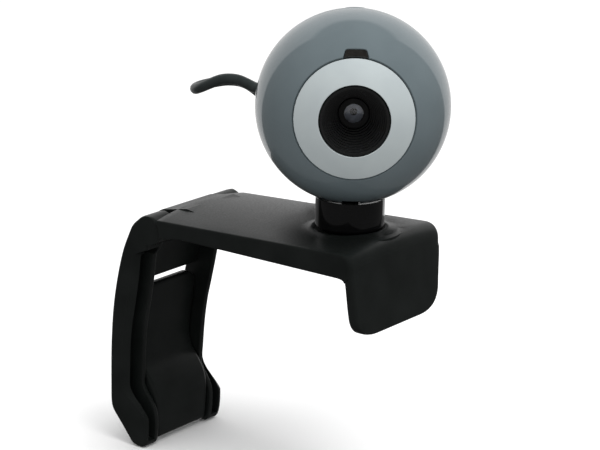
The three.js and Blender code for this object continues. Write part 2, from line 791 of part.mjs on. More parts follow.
function legProfile() {
  return [
    ...earArc,
    ...smooth(fromHinge(legBack), 13),
    ...bend([hingeY + 8.4, legBottom + 0.9], [hingeY + 7.2, legBottom], [hingeY + 5.6, legBottom], 3),
    ...bend([hingeY + 3.6, legBottom], [hingeY + 2.4, legBottom], [hingeY + 2, legBottom + 2.3], 3),
    ...smooth(fromHinge(legFront), 10),
    ...smooth(fromHinge(legFrontUpper), 7),
  ];
}

// The open channel along a rail's front, down to a web of the leg's back edge.
function grooveProfile() {
  const back = legBack.slice(3).map(([y, z]) => [y - webThickness, z]);
  return [
    [hingeY - 12, hingeZ - 8.5],
    ...smooth(fromHinge(back), 8),
    [hingeY + 8, legBottom + 2.4],
    [hingeY - 12, legBottom + 2.4],
  ];
}

function crossbarProfile() {
  const edge = fromHinge(legBack);
  const backAt = (z) => {
    const i = edge.findIndex(([, down]) => down < z);
    const [[y0, z0], [y1, z1]] = [edge[i - 1], edge[i]];
    return y0 + ((y1 - y0) * (z - z0)) / (z1 - z0);
  };
  const rows = [crossbarTop, (crossbarTop + crossbarBottom) / 2, crossbarBottom];
  const inset = 0.4;
  const back = rows.map((z) => [backAt(z) - inset, z]);
  const front = rows.map((z) => [backAt(z) - inset - crossbarThickness, z]).reverse();
  return [...back, ...front];
}

// The solid knuckle that carries the hinge pin, wider than the rail below it.
function earProfile() {
  return [
    ...earArc,
    ...smooth(fromHinge(legBack.slice(0, 4)), 5),
    [hingeY + 1.6, hingeZ - 8.5],
    [hingeY + 0.4, hingeZ - 5.3],
  ];
}

function rearLeg() {
  const railInner = (z) => outerX(z) - railWidth;
  const whole = slab(legProfile(), railInner, outerX);
  const ear = slab(earProfile(), earInner, outerX);
  const groove = slab(grooveProfile(), (z) => railInner(z) + innerWall, (z) => outerX(z) - outerWall);
  const rail = whole.add(ear).subtract(groove);
  const reach = railInner(crossbarTop) + CUT;
  const crossbar = slab(crossbarProfile(), -reach, reach);
  const pinHole = barX(pinRadius + GAP, -pinReach - GAP, pinReach + GAP).translate([0, hingeY, hingeZ]);
  const flapHole = barX(pinRadius + GAP, -flapPinReach - GAP, flapPinReach + GAP);
  return cut(join(rail, rail.mirror([1, 0, 0]), crossbar), pinHole, flapHole.translate([0, flapPinY, flapPinZ]));
}

// The flap's pin is held in the inner walls of the rails.
const flapPinReach = outerX(flapPinZ) - outerWall - grooveWidth - 0.5;

add(clip, 'rear_leg', rearLeg(), finish.clip);
add(clip, 'flap_pin', barX(pinRadius, -flapPinReach, flapPinReach).translate([0, flapPinY, flapPinZ]), finish.steel);

// ---------------------------------------------------------------- flap
const flapX = (z) => outerX(z) - railWidth - 0.5;

// The flap's front face, as offsets from the hinge, from its free end down to its foot.
const flapFront = [[8.7, -25], [9.6, -33], [10.3, -40], [10.5, -45], [9.4, -49], [6.2, -53], [3.7, -57], [2.6, -61]];

function flapProfile() {
  const foot = flapPinZ - 5.6;
  const flapTop = hingeZ - flapDrop;
  const upper = fromHinge(flapFront.slice(0, 4).reverse()).map(([y, z]) => [y + flapThickness, z]);
  return [
    [hingeY + 8.2 + flapThickness, flapTop],
    [hingeY + 8.2, flapTop],
    ...smooth(fromHinge(flapFront), 14),
    ...bend([hingeY + 2.6, foot + 1.5], [hingeY + 2.6, foot], [hingeY + 4.1, foot], 3),
    ...bend([hingeY + 9, foot], [hingeY + 12, foot + 1], [hingeY + 12.4, flapPinZ + 2], 3),
    [hingeY + 13.4, flapPinZ + 16],
    ...smooth(upper, 4),
  ];
}

function rearFlap() {
  const flapTop = hingeZ - flapDrop;
  const body = slab(flapProfile(), (z) => -flapX(z), flapX);
  const wide = flapX(flapTop);
  const right = [
    [wide + CUT, flapPinZ - 10],
    [wide + CUT, flapTop - 4],
    ...bend([wide, flapTop - 4], [wide, flapTop - 0.8], [wide - 5, flapTop - 0.2]),
    [0, flapTop],
  ];
  const face = outline([...right, ...right.slice(0, -1).reverse().map(([x, z]) => [-x, z])]);
  const trim = prism(face, -hingeY - 30, -hingeY + 20).rotate([90, 0, 0]);
  const bore = barX(pinRadius + GAP, -wide, wide).translate([0, flapPinY, flapPinZ]);
  return cut(body.intersect(trim), bore);
}

add(clip, 'rear_flap', rearFlap(), finish.clip);

// ---------------------------------------------------------------- cord
// The cord's route in the neck's frame, from the strain relief round to the coil: x to the right as one
// faces the lens, y backwards and z up, from the ball's centre.
const route = [
  [-27.4, 32.6, -3.8], [-31.0, 36.2, -3.0], [-36.5, 39.5, -1.4], [-41.4, 42.0, -1.9], [-45.4, 44.7, -4.0],
  [-48.6, 48.4, -6.2], [-50.4, 53.2, -7.8], [-50.6, 58.4, -8.6], [-48.8, 62.7, -8.6], [-45.0, 65.3, -8.2],
  [-40.2, 66.0, -7.6], [-35.0, 64.5, -7.9], [-30.2, 61.0, -10.0], [-26.3, 56.9, -13.2], [-23.2, 53.2, -17.3],
  [-20.6, 51.0, -21.6],
];
// From the top of the coil over and down into the plug.
const tail = [
  [12.6, 51.9, 4.4], [10.6, 52.9, 8.6], [6.8, 54.0, 12.2], [1.8, 54.8, 13.5], [-3.0, 55.2, 11.7], [-6.2, 55.3, 7.6],
  [-7.0, 55.3, 3.8],
];

function cordTube(points, steps) {
  const path = new THREE.CatmullRomCurve3(points.map((p) => new THREE.Vector3(...p)), false, 'centripetal');
  const section = new THREE.Shape();
  section.absarc(0, 0, cordDiameter / 2, 0, 2 * Math.PI);
  const options = { steps, extrudePath: path, curveSegments: 4, bevelEnabled: false };
  return solid(new THREE.ExtrudeGeometry(section, options));
}

// The outer shape of the wound turns: a ring whose section is a rounded square.
function coilRing(grow) {
  const [r, b] = [coilMean / 2, coilBundle / 2 + grow];
  const section = arcPoints([r, 0], b, 18, 342, 9);
  return turn(section, 36).translate([0, coilBack, -coilDrop]);
}

const tieAngle = 125;             // degrees round the coil from its right side
const tieWidth = 5;

function cableTie() {
  const inner = coilBundle / 2 + 2 * GAP;
  const ring = turn([
    [inner, -tieWidth / 2], [inner + 1.1, -tieWidth / 2], [inner + 1.1, tieWidth / 2], [inner, tieWidth / 2],
  ], 20);
  return ring.rotate([90, 0, 0]).translate([coilMean / 2, 0, 0]).rotate([0, -tieAngle, 0])
    .translate([0, coilBack, -coilDrop]);
}

add(cordFrame, 'usb_cable', cordTube(route, 44).subtract(coilRing(GAP)), finish.cord);
add(cordFrame, 'cable_coil', coilRing(0), finish.cord);
add(cordFrame, 'cable_tail', cordTube(tail, 16).subtract(coilRing(GAP)), finish.cord);
add(cordFrame, 'cable_tie', cableTie(), finish.rubber);

// The plug hangs behind the coil, its cord coming in from above.
const [plugX, plugY, plugZ] = [tail.at(-1)[0], tail.at(-1)[1], tail.at(-1)[2] - 2 * GAP];

function plugGripShape() {
  const [w, d, h] = plugGrip;
  const body = prism(roundedRect(w, d, 2), -h, -5);
  const neckTop = barZ(cordDiameter / 2 + 1.2, -6, 0, 20);
  const shoulder = prism(roundedRect(w - 4, d - 1.6, 2), -5.5, -3);
  return join(body, neckTop, shoulder);
}

function plugShellShape() {
  const [w, d, h] = plugShell;
  return cut(box([w, d, h], [0, 0, -h / 2]), box([w - 0.8, d - 0.8, h], [0, 0, -h / 2 - 2]));
}

const grip = plugGripShape().translate([plugX, plugY, plugZ]);
add(cordFrame, 'plug_grip', grip, finish.cord);
const shellTop = plugZ - plugGrip[2] - GAP;
add(cordFrame, 'plug_shell', plugShellShape().translate([plugX, plugY, shellTop]), finish.steel);
const plugTongue = box([plugShell[0] - 1.6, 1.7, 9.5], [plugX, plugY + 0.75, shellTop - 2.4 - 4.75]);
add(cordFrame, 'plug_tongue', plugTongue, finish.nylon);

export default webcam;
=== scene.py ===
# %% [markdown]
# # A ball webcam on a folding monitor clip
# This script dresses a CAD model of a webcam. The CAD model says where every piece is and how it moves.
# Here each piece that can be seen gets a fine surface and a finish, and the hidden ones get a finish. We
# start by loading the CAD model.
# %% Load the CAD model
import json
import math

import bmesh
import bpy
import numpy as np
from mathutils import Matrix, Vector


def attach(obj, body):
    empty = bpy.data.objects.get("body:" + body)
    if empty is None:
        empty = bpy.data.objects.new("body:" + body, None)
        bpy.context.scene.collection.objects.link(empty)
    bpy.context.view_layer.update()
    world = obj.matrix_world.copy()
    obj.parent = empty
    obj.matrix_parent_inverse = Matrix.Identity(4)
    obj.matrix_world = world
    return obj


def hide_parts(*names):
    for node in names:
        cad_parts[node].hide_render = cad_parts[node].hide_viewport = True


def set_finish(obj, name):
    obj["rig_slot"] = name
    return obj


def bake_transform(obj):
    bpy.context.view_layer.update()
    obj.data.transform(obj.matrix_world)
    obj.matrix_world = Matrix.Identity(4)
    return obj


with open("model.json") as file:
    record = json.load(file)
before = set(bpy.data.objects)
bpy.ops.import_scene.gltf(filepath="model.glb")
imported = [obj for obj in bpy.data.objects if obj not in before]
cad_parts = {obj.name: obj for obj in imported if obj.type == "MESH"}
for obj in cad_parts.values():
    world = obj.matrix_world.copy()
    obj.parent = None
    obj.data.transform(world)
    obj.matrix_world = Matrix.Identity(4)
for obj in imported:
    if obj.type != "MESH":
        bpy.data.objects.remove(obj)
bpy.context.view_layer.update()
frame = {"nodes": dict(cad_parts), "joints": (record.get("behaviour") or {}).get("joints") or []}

# %% [markdown]
# ## Four places to work in
# The clip stands square to the model's own axes. The neck is turned on the clip, and the ball is tilted on
# the neck. A lathe profile for the lens is easiest to write straight ahead, so we make one set of axes for
# each and read them from the joints: the tilt joint gives the ball's centre and its sideways axis, and the
# focus joint gives the direction in which the lens looks. Sizes below are in millimetres, as a maker writes
# them.
# %% Axes of the clip, neck, cord and ball
MM = 0.001
joints = {joint["name"]: joint for joint in frame["joints"]}
ball_centre = Vector(joints["head_tilt"]["pos_m"])
tilt_axis = Vector(joints["head_tilt"]["axis"]).normalized()
lens_axis = Vector(joints["focus_turn"]["axis"]).normalized()
upright = Vector((0, 0, 1))


def place(origin, x, y):
    """A matrix that takes points in millimetres, along the axes x, y and x cross y, to the model's metres."""
    z = x.cross(y)
    columns = Matrix((x, y, z)).transposed().to_4x4()
    return Matrix.Translation(origin) @ columns @ Matrix.Scale(MM, 4)


on_clip = place(Vector((0, 0, 0)), Vector((1, 0, 0)), Vector((0, 1, 0)))
on_neck = place(Vector((0, 0, 0)), tilt_axis, upright.cross(tilt_axis))
on_cord = place(ball_centre, tilt_axis, upright.cross(tilt_axis))
on_head = place(ball_centre, tilt_axis, -lens_axis)
BALL = 30
CENTRE_HEIGHT = ball_centre.z / MM
print("Ball centre in mm:", [round(x / MM, 2) for x in ball_centre])

# %% [markdown]
# ## The camera
# A long lens from three quarters of a metre away keeps the ball round. We place it by its position, then by
# the three angles of its aim: round the object, down, and a small roll.
# %% Camera
camera_place = Vector((-0.59316, -0.41075, 0.21422))
aim_round, aim_down, roll = (math.radians(angle) for angle in (54.08, 15.87, 1.33))
ahead = Vector((
    math.sin(aim_round) * math.cos(aim_down),
    math.cos(aim_round) * math.cos(aim_down),
    -math.sin(aim_down),
))
level = ahead.cross(upright).normalized()
right = level * math.cos(roll) + level.cross(ahead) * math.sin(roll)
camera = bpy.data.objects.new("studio_camera", bpy.data.cameras.new("studio_camera"))
camera.matrix_world = (
    Matrix.Translation(camera_place) @ Matrix((right, right.cross(ahead), -ahead)).transposed().to_4x4()
)
camera.data.lens = 145.18
camera.data.sensor_width = 36
bpy.context.scene.collection.objects.link(camera)
bpy.context.scene.camera = camera

# %% [markdown]
# ## Making a mesh from rings
# Almost every moulded piece here is a skin drawn over a row of rings, the way a boat's planks go over its
# frames. A ring may be a circle of a turned piece, a section of a leg, or a slice of a cord. If all rings
# hold the same number of points, the faces between them are plain quads, which shade and bevel well. `skin`
# closes both ends.
# %% Skins over rings
def skin(rings, caps=True):
    """Points and faces of a closed skin over equal rings. Without caps the last ring joins the first."""
    count, rows = len(rings[0]), len(rings)
    points = np.array([point for ring in rings for point in ring], float)
    faces = []
    for row in range(rows - 1 if caps else rows):
        low, high = row * count, (row + 1) % rows * count
        for i in range(count):
            j = (i + 1) % count
            faces.append((low + i, low + j, high + j, high + i))
    if caps:
        faces.append(tuple(range(count))[::-1])
        faces.append(tuple((rows - 1) * count + i for i in range(count)))
    return points, faces


def several(*shapes):
    """Separate skins as one set of points and faces."""
    points, faces, start = [], [], 0
    for own_points, own_faces in shapes:
        points.append(own_points)
        faces += [tuple(start + i for i in face) for face in own_faces]
        start += len(own_points)
    return np.concatenate(points), faces


# %% [markdown]
# A turned piece is a profile spun round an axis. The profile is a list of (radius, distance along the
# axis). It either closes on itself, like a washer, or starts and ends on the axis, like a bead; a lathe
# leaves a tiny pin-hole there, which one point closes. `fillet` rounds the profile's corners, because
# nothing that leaves a mould has a sharp edge, and a rounded edge is what catches a highlight.
# %% Turned pieces and rounded corners
def fillet(corners, radii, steps=4):
    """A closed line through corners, each rounded with its own radius, or sharp where that is 0."""
    corners = [np.array(corner, float) for corner in corners]
    radii = [radii] * len(corners) if isinstance(radii, (int, float)) else radii
    line = []
    for i, (corner, radius) in enumerate(zip(corners, radii)):
        if radius <= 0:
            line.append(corner)
            continue
        before, after = corners[i - 1] - corner, corners[(i + 1) % len(corners)] - corner
        reach_before, reach_after = np.linalg.norm(before), np.linalg.norm(after)
        before, after = before / reach_before, after / reach_after
        half = math.acos(max(-1, min(1, float(before @ after)))) / 2
        back = min(radius / math.tan(half), 0.49 * reach_before, 0.49 * reach_after)
        start, end = corner + before * back, corner + after * back
        for step in range(steps + 1):
            t = step / steps
            line.append((1 - t) ** 2 * start + 2 * t * (1 - t) * corner + t**2 * end)
    return np.array(line)


def turned(profile, sides=128, along="y"):
    """A profile of (radius, distance) spun round an axis. It is a solid if both ends are on the axis."""
    profile = np.array(profile, float)
    solid = profile[0][0] < 1e-6 and profile[-1][0] < 1e-6
    body = profile[1:-1] if solid else profile
    angles = np.linspace(0, 2 * math.pi, sides, endpoint=False)
    rings = [[(r * math.cos(a), d, -r * math.sin(a)) for a in angles] for r, d in body]
    points, faces = skin(rings, caps=False)
    if solid:
        faces = faces[: -sides]
        points = np.concatenate([points, [(0, profile[0][1], 0), (0, profile[-1][1], 0)]])
        first, last = len(points) - 2, len(points) - 1
        top = (len(body) - 1) * sides
        faces += [(first, (i + 1) % sides, i) for i in range(sides)]
        faces += [(last, top + i, top + (i + 1) % sides) for i in range(sides)]
    if along == "z":
        points = points[:, [0, 2, 1]] * (1, -1, 1)
    return points, faces


# %% [markdown]
# `add_mesh` turns points and faces into an object, in metres, in its place, and makes the normals point
# out. `soften` shades smoothly except at edges sharper than a set angle. `carve` cuts one closed shape
# from an object or joins one to it, as a modifier that is applied at once, so that what is stored is plain
# mesh.
# %% Objects from shapes
def add_mesh(name, shape, where):
    points, faces = shape
    mesh = bpy.data.meshes.new(name)
    mesh.from_pydata([where @ Vector(point) for point in points], [], faces)
    builder = bmesh.new()
    builder.from_mesh(mesh)
    bmesh.ops.remove_doubles(builder, verts=builder.verts, dist=1e-7)
    bmesh.ops.recalc_face_normals(builder, faces=builder.faces)
    builder.to_mesh(mesh)
    builder.free()
    thing = bpy.data.objects.new(name, mesh)
    bpy.context.scene.collection.objects.link(thing)
    return thing


def carve(piece, shape, where, operation="DIFFERENCE"):
    tool = shape if isinstance(shape, bpy.types.Object) else add_mesh("tool", shape, where)
    cut = piece.modifiers.new("cut", "BOOLEAN")
    cut.operation = operation
    cut.solver = "MANIFOLD"
    cut.object = tool
    graph = bpy.context.evaluated_depsgraph_get()
    fresh = bpy.data.meshes.new_from_object(piece.evaluated_get(graph))
    piece.modifiers.clear()
    worn = piece.data
    piece.data = fresh
    bpy.data.meshes.remove(worn)
    bpy.data.objects.remove(tool)


def soften(piece, angle=32):
    """Smooth shading that stops at edges sharper than the angle, in degrees."""
    piece.data.shade_smooth()
    piece.data.set_sharp_from_angle(angle=math.radians(angle))


made = {}


def settle(piece, body, slot, nodes=(), angle=32):
    """The last step for a piece: shading, the body it rides on, its slot and the CAD nodes it replaces."""
    soften(piece, angle)
    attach(piece, body)
    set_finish(piece, slot)
    if nodes:
        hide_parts(*nodes)
    made[piece.name] = piece
    print(f"{piece.name}: {len(piece.data.polygons)} faces")

# %% [markdown]
# ## The cord
# This cord is 1.65 m of 3.5 mm cable with a plug; such cords run from about 1.5 to 1.8 m. Only its first
# inch matters, so the rest is wound into a neat coil behind the ball, held by a tie. The loose stretches
# are lists of given points, and a smooth curve runs through them. The coil is worked out: its
# turns lie side by side in a round bundle, one place for each turn, and the cord steps from one place to
# the next near the end of each turn.
# %% A smooth line through points
def through(points, step):
    """Points about a step apart on a smooth curve that passes through all the points."""
    points = np.array(points, float)
    padded = np.concatenate([[2 * points[0] - points[1]], points, [2 * points[-1] - points[-2]]])
    gaps = np.linalg.norm(np.diff(padded, axis=0), axis=1) ** 0.5
    knots = np.concatenate([[0], np.cumsum(gaps)])
    line = []
    for i in range(1, len(padded) - 2):
        a, b, c, d = padded[i - 1 : i + 3]
        t0, t1, t2, t3 = knots[i - 1 : i + 3]
        count = max(1, round(float(np.linalg.norm(c - b)) / step))
        for t in np.linspace(t1, t2, count, endpoint=False):
            ab = a + (b - a) * (t - t0) / (t1 - t0)
            bc = b + (c - b) * (t - t1) / (t2 - t1)
            cd = c + (d - c) * (t - t2) / (t3 - t2)
            abc = ab + (bc - ab) * (t - t0) / (t2 - t0)
            bcd = bc + (cd - bc) * (t - t1) / (t3 - t1)
            line.append(abc + (bcd - abc) * (t - t1) / (t2 - t1))
    line.append(padded[-2])
    return np.array(line)


# %% [markdown]
# The bundle is packed like oranges in a box: one place in the middle, six round it and six more in the
# hollows outside those. The list of angles below walks from place to place so that each step is to a
# neighbour.
# %% The cord's route
CORD = 3.5
relief_exit = (-27.4, 32.6, -3.8)
from_relief = [
    (-25.4, 30.3, -3.8), relief_exit, (-31.0, 36.2, -3.0), (-36.5, 39.5, -1.4), (-41.4, 42.0, -1.9),
    (-45.4, 44.7, -4.0), (-48.6, 48.4, -6.2), (-50.4, 53.2, -7.8), (-50.6, 58.4, -8.6), (-48.8, 62.7, -8.6),
    (-45.0, 65.3, -8.2), (-40.2, 66.0, -7.6), (-35.0, 64.5, -7.9), (-30.2, 61.0, -10.0), (-26.3, 56.9, -13.2),
    (-23.2, 53.2, -17.3), (-20.6, 51.0, -21.6),
]
to_plug = [
    (12.6, 51.9, 4.4), (10.6, 52.9, 8.6), (6.8, 54.0, 12.2), (1.8, 54.8, 13.5), (-3.0, 55.2, 11.7),
    (-6.2, 55.3, 7.6), (-7.0, 55.3, 3.8), (-7.0, 55.3, 0.5),
]
coil_middle = np.array((0, 43.5, -10.5))
coil_radius = 19.25
turn_spacing = 3.3
inner_ring, outer_ring = turn_spacing, turn_spacing * math.sqrt(3)
places = [
    (outer_ring, 90), (inner_ring, 120), (outer_ring, 150), (inner_ring, 180), (outer_ring, 210),
    (inner_ring, 240), (0, 0), (outer_ring, 270), (inner_ring, 300), (outer_ring, 330), (inner_ring, 0),
    (outer_ring, 30), (inner_ring, 60),
]
enters_at, leaves_at = 214, 44
points_per_turn = 30


def coil_point(turn, angle):
    """A point on a turn, with the step to the next turn's place late in the turn."""
    share = (angle - enters_at) / 360 % 1
    step = min(1, max(0, (share - 0.7) / 0.24))
    step = step * step * (3 - 2 * step)
    spots = []
    for distance, bearing in (places[turn], places[min(turn + 1, len(places) - 1)]):
        bearing = math.radians(bearing)
        spots.append(np.array((distance * math.cos(bearing), distance * math.sin(bearing))))
    outward, back = spots[0] * (1 - step) + spots[1] * step
    outward += 0.18 * math.sin(math.radians(3 * angle) + 1.7 * turn)
    back += 0.15 * math.cos(math.radians(2 * angle) + 2.3 * turn)
    radius = coil_radius + outward
    angle = math.radians(angle)
    return coil_middle + (radius * math.cos(angle), back, radius * math.sin(angle))


turns = []
for turn in range(len(places)):
    last = turn == len(places) - 1
    sweep = (leaves_at + 360 - enters_at) if last else 360
    for i in range(round(points_per_turn * sweep / 360)):
        turns.append(coil_point(turn, enters_at + 360 * i / points_per_turn))

cord_line = through([*from_relief, *turns, *to_plug], 1.2)
cord_length = float(np.linalg.norm(np.diff(cord_line, axis=0), axis=1).sum())
print(f"Cord: {len(cord_line)} points, {cord_length:.0f} mm")


# %% [markdown]
# A tube needs a ring of points square to the line at every step. If each ring were turned freely the skin
# would twist, so we carry one direction along the line and only tip it as the line bends.
# %% Tubes
def tube(line, radius, sides=12):
    """A skin round a line. The radius is a number or one number for each point."""
    line = np.array(line, float)
    ahead_of = np.gradient(line, axis=0)
    ahead_of /= np.linalg.norm(ahead_of, axis=1)[:, None]
    across = np.cross(ahead_of[0], (0.31, 0.17, 0.93))
    radii = np.broadcast_to(radius, len(line))
    rings = []
    for point, direction, r in zip(line, ahead_of, radii):
        across = across - direction * (across @ direction)
        across /= np.linalg.norm(across)
        other = np.cross(direction, across)
        angles = np.linspace(0, 2 * math.pi, sides, endpoint=False)
        rings.append([point + r * (across * math.cos(a) + other * math.sin(a)) for a in angles])
    return skin(rings)


# %% [markdown]
# The whole cord is one tube, made in the cord's axes and fixed there; it is not attached to the ball or
# the neck.
# %% The cord as a piece
def smoothstep(t):
    t = np.clip(t, 0, 1)
    return t * t * (3 - 2 * t)


sides_of_cord = 12
usb_cord = add_mesh("usb_cord", tube(cord_line, CORD / 2, sides_of_cord), on_cord)
soften(usb_cord)
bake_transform(usb_cord)
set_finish(usb_cord, "cord_jacket")
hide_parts("usb_cable", "cable_coil", "cable_tail")
made["usb_cord"] = usb_cord

# %% [markdown]
# ## The ball's two shells
# Each half is a turned shell two millimetres thick. The profile is an arc outside and an arc inside, with
# its four corners rounded. The cut-outs for the window and the button have to follow the ball: their
# outlines are drawn in two numbers, sideways and up, that are lengths on the ball's surface, and every ring
# of the cutter is the same outline carried to a smaller or larger ball. The last rings flare, which rounds
# the cut's edge.
# %% Arcs and outlines on the ball
WALL = 2
SEAM = 0.15
RING_RADIUS = 18.1
RING_HOLE = 10.75
OPENING = RING_RADIUS + 0.6
opening_angle = math.degrees(math.asin(OPENING / BALL))


def ball_arc(radius, start, end, steps):
    """Points (radius, y) on a ball, between two angles from the lens axis."""
    angles = np.radians(np.linspace(start, end, steps + 1))
    return [(radius * math.sin(a), -radius * math.cos(a)) for a in angles]


def grown(outline, by):
    """A flat outline moved outwards, or inwards when by is less than 0."""
    outline = np.array(outline, float)
    ahead_of = np.roll(outline, -1, axis=0) - outline
    ahead_of /= np.maximum(np.linalg.norm(ahead_of, axis=1), 1e-9)[:, None]
    normal = ahead_of[:, ::-1] * (1, -1)
    mean = normal + np.roll(normal, 1, axis=0)
    mean /= np.maximum(0.5 * (mean**2).sum(axis=1), 0.5)[:, None]
    x, y = outline[:, 0], outline[:, 1]
    area = 0.5 * float(np.sum(x * np.roll(y, -1) - y * np.roll(x, -1)))
    return outline + mean * by * (1 if area > 0 else -1)


def on_front(x, up):
    """A point on the ball, a length sideways and a length up from the lens axis."""
    side, rise = x / BALL, up / BALL
    ahead, height = math.cos(side) * math.cos(rise), math.cos(side) * math.sin(rise)
    return np.array((math.sin(side), -ahead, height)) * BALL


def on_top(x, y):
    """A point on the ball above the point x, y."""
    return np.array((x, y, math.sqrt(BALL**2 - x * x - y * y)))


def over_ball(outline, spot, levels):
    """Rings for a plug or a cutter: the outline, grown by the second number, at the first number's radius."""
    return [[spot(*point) * radius / BALL for point in grown(outline, by)] for radius, by in levels]


def domed(outline, spot, levels, radius):
    """A plug with levels up its side, and smaller and smaller rings that make its top follow a ball."""
    rings = over_ball(outline, spot, levels)
    edge = grown(outline, levels[-1][1])
    middle = edge.mean(axis=0)
    for share in (0.85, 0.65, 0.4, 0.12):
        rings.append([spot(*(middle + (point - middle) * share)) * radius / BALL for point in edge])
    return skin(rings)


# %% [markdown]
# The window's foot lies along the focus ring, so its lower edge is part of the opening's circle. The cut
# for it runs on down through the opening's edge, which leaves no sliver of shell between the two.
# %% Outlines of the window and the button
window_foot, window_head, window_height = 7.3, 6.1, 2.5


def above_opening(x):
    """How far up from the lens axis the opening's edge is, at a length sideways."""
    return BALL * math.acos(math.cos(math.radians(opening_angle)) / math.cos(x / BALL))


def window_shape(below, foot):
    """The window's outline with its foot a little above or below the opening's edge."""
    low = [(x, above_opening(x) + below) for x in np.linspace(-foot / 2, foot / 2, 9)]
    top = above_opening(0) + window_height
    high = [(window_head / 2, top), (-window_head / 2, top)]
    return fillet(low + high, [0] * len(low) + [0.9, 0.9], steps=5)


def stadium(width, length, middle, steps=10):
    """A slot's outline with round ends, seen from above."""
    radius = width / 2
    straight = length / 2 - radius
    outline = []
    for start, y in ((0, straight), (math.pi, -straight)):
        for a in np.linspace(start, start + math.pi, steps + 1):
            outline.append((radius * math.cos(a), middle + y + radius * math.sin(a)))
    return np.array(outline)


def mouth(gap):
    """Radius and growth for the rings of a cut whose edge is rounded where it meets the ball's face."""
    edge = [(-4, 0), (-0.3, 0), (-0.13, 0.04), (-0.04, 0.12), (0, 0.22), (0.4, 0.62)]
    return [(BALL + rise, gap + growth) for rise, growth in edge]


window_outline = window_shape(0.12, window_foot)
button_outline = stadium(6.5, 8, 6.6)

# %% [markdown]
# A cut in a glossy ball shows: the thin triangles round it bend the reflections. The cure is to say which
# way the surface faces instead of leaving it to the triangles. Every corner that lies on the ball gets the
# true normal, straight out from the centre.
# %% True normals on the ball
def true_normals(piece, radius=BALL, angle=32):
    mesh = piece.data
    soften(piece, angle)
    normals = [Vector(corner.vector) for corner in mesh.corner_normals]
    off_ball = [abs((vertex.co - ball_centre).length / MM - radius) for vertex in mesh.vertices]
    for face in mesh.polygons:
        out = (face.center - ball_centre).normalized()
        if face.normal.dot(out) < 0.97:
            continue
        for corner in face.loop_indices:
            vertex = mesh.loops[corner].vertex_index
            if off_ball[vertex] < 0.03:
                normals[corner] = (mesh.vertices[vertex].co - ball_centre).normalized()
    mesh.normals_split_custom_set(normals)


def half_shell(start):
    """The profile of half a shell, from an angle off the lens axis to the seam."""
    outer = ball_arc(BALL, start, 89.7, 60)
    inner = ball_arc(BALL - WALL, 89.5, start, 30)
    corners = outer + inner
    radii = [0] * len(corners)
    for i in (0, len(outer) - 1, len(outer), len(corners) - 1):
        radii[i] = 0.3
    return corners, radii


slot = fillet([(-2.8, -12.37), (2.8, -12.37), (2.8, 12.37), (-2.8, 12.37)], 0.6)
slot_cutter = skin([[(x, y, z) for x, y in slot] for z in (-BALL - 3, -BALL + 3 * WALL)])

corners, radii = half_shell(opening_angle)
front_case = add_mesh("front_case", turned(fillet(corners, radii, 4), 192), on_head)
window_cut = over_ball(window_shape(-1, window_foot + 0.5), on_front, mouth(0.15))
carve(front_case, skin(window_cut), on_head)
carve(front_case, slot_cutter, on_head)
settle(front_case, "head", "shell_front", ["front_shell"])
true_normals(front_case)

# %% [markdown]
# The rear half closes over the back and holds the button. Two screws hold it from behind, each deep in a
# seat with a post under it. The posts are trimmed by a ball a little larger than the shell's inside, so
# they run into the wall and stop there.
# %% The rear shell
outer, inner = ball_arc(BALL, 180, 90.29, 60), ball_arc(BALL - WALL, 90.31, 180, 30)
radii = [0] * len(outer + inner)
radii[len(outer) - 1] = radii[len(outer)] = 0.3
rear_case = add_mesh("rear_case", turned(fillet(outer + inner, radii), 192), on_head)
screw_places = [(side * 19.2, 16.1) for side in (-1, 1)]


def rod(radius, start, end, at=(0, 0), sides=48):
    """A plain rod along the lens axis, for cutting and for posts."""
    points, faces = turned([(0, start), (radius, start), (radius, end), (0, end)], sides)
    return points + (at[0], 0, at[1]), faces


for at in screw_places:
    post = add_mesh("post", rod(3.5, 0.3, 15, at), on_head)
    carve(post, turned(ball_arc(BALL - WALL / 2, 0, 180, 48), 96), on_head, "INTERSECT")
    carve(rear_case, post, on_head, "UNION")
    carve(rear_case, rod(2.6, 8, 31, at), on_head)
    carve(rear_case, rod(1.4, -1, 9, at), on_head)

relief_round, relief_down = math.radians(40), math.radians(-2.2)
relief_turn = Matrix.Rotation(relief_round, 4, "Z") @ Matrix.Rotation(relief_down, 4, "X")
on_relief = on_head @ relief_turn
carve(rear_case, rod(4, 24, 32), on_relief)
carve(rear_case, skin(over_ball(button_outline, on_top, mouth(0.2))), on_head)
carve(rear_case, slot_cutter, on_head)
settle(rear_case, "head", "shell_rear", ["rear_shell"])
true_normals(rear_case)

# %% [markdown]
# ## The focus ring, the funnel and the lens
# The ring's face is part of the same ball as the shells. Its flange catches behind the shell. Inside the
# ring a black funnel goes down to the lens in fine steps: such steps trap light that comes in from the
# side. The lens barrel looks out of the funnel's narrow end.
# %% Focus ring
hole_angle, rim_angle = (math.degrees(math.asin(r / BALL)) for r in (RING_HOLE, RING_RADIUS))
face = ball_arc(BALL, hole_angle, rim_angle, 12)
behind = [(18.0, -22.4), (16.3, -22.4), (16.3, -23.2), (12.75, -25.41), (10.75, -25.41)]
radii = [0.1] * len(face + behind)
radii[0], radii[len(face) - 1] = 0.3, 0.3
radii[1 : len(face) - 1] = [0] * (len(face) - 2)
silver_ring = add_mesh("silver_ring", turned(fillet(face + behind, radii), 192), on_head)
settle(silver_ring, "focus", "ring_silver", ["focus_ring"])
true_normals(silver_ring)
# The flange and skirt behind the ring's face are black: painted shade that darkens the gap round the silver
# ring.
skirt_corners = [
    (16.4, -22.3), (17.9, -22.3), (17.9, -20.16), (18.95, -20.16), (18.95, -18.86), (16.4, -18.86),
]
skirt = fillet(skirt_corners, 0.1, 2)
ring_skirt_gap_shade = add_mesh("ring_skirt_gap_shade", turned(skirt, 128), on_head)
settle(ring_skirt_gap_shade, "focus", "lens_black")

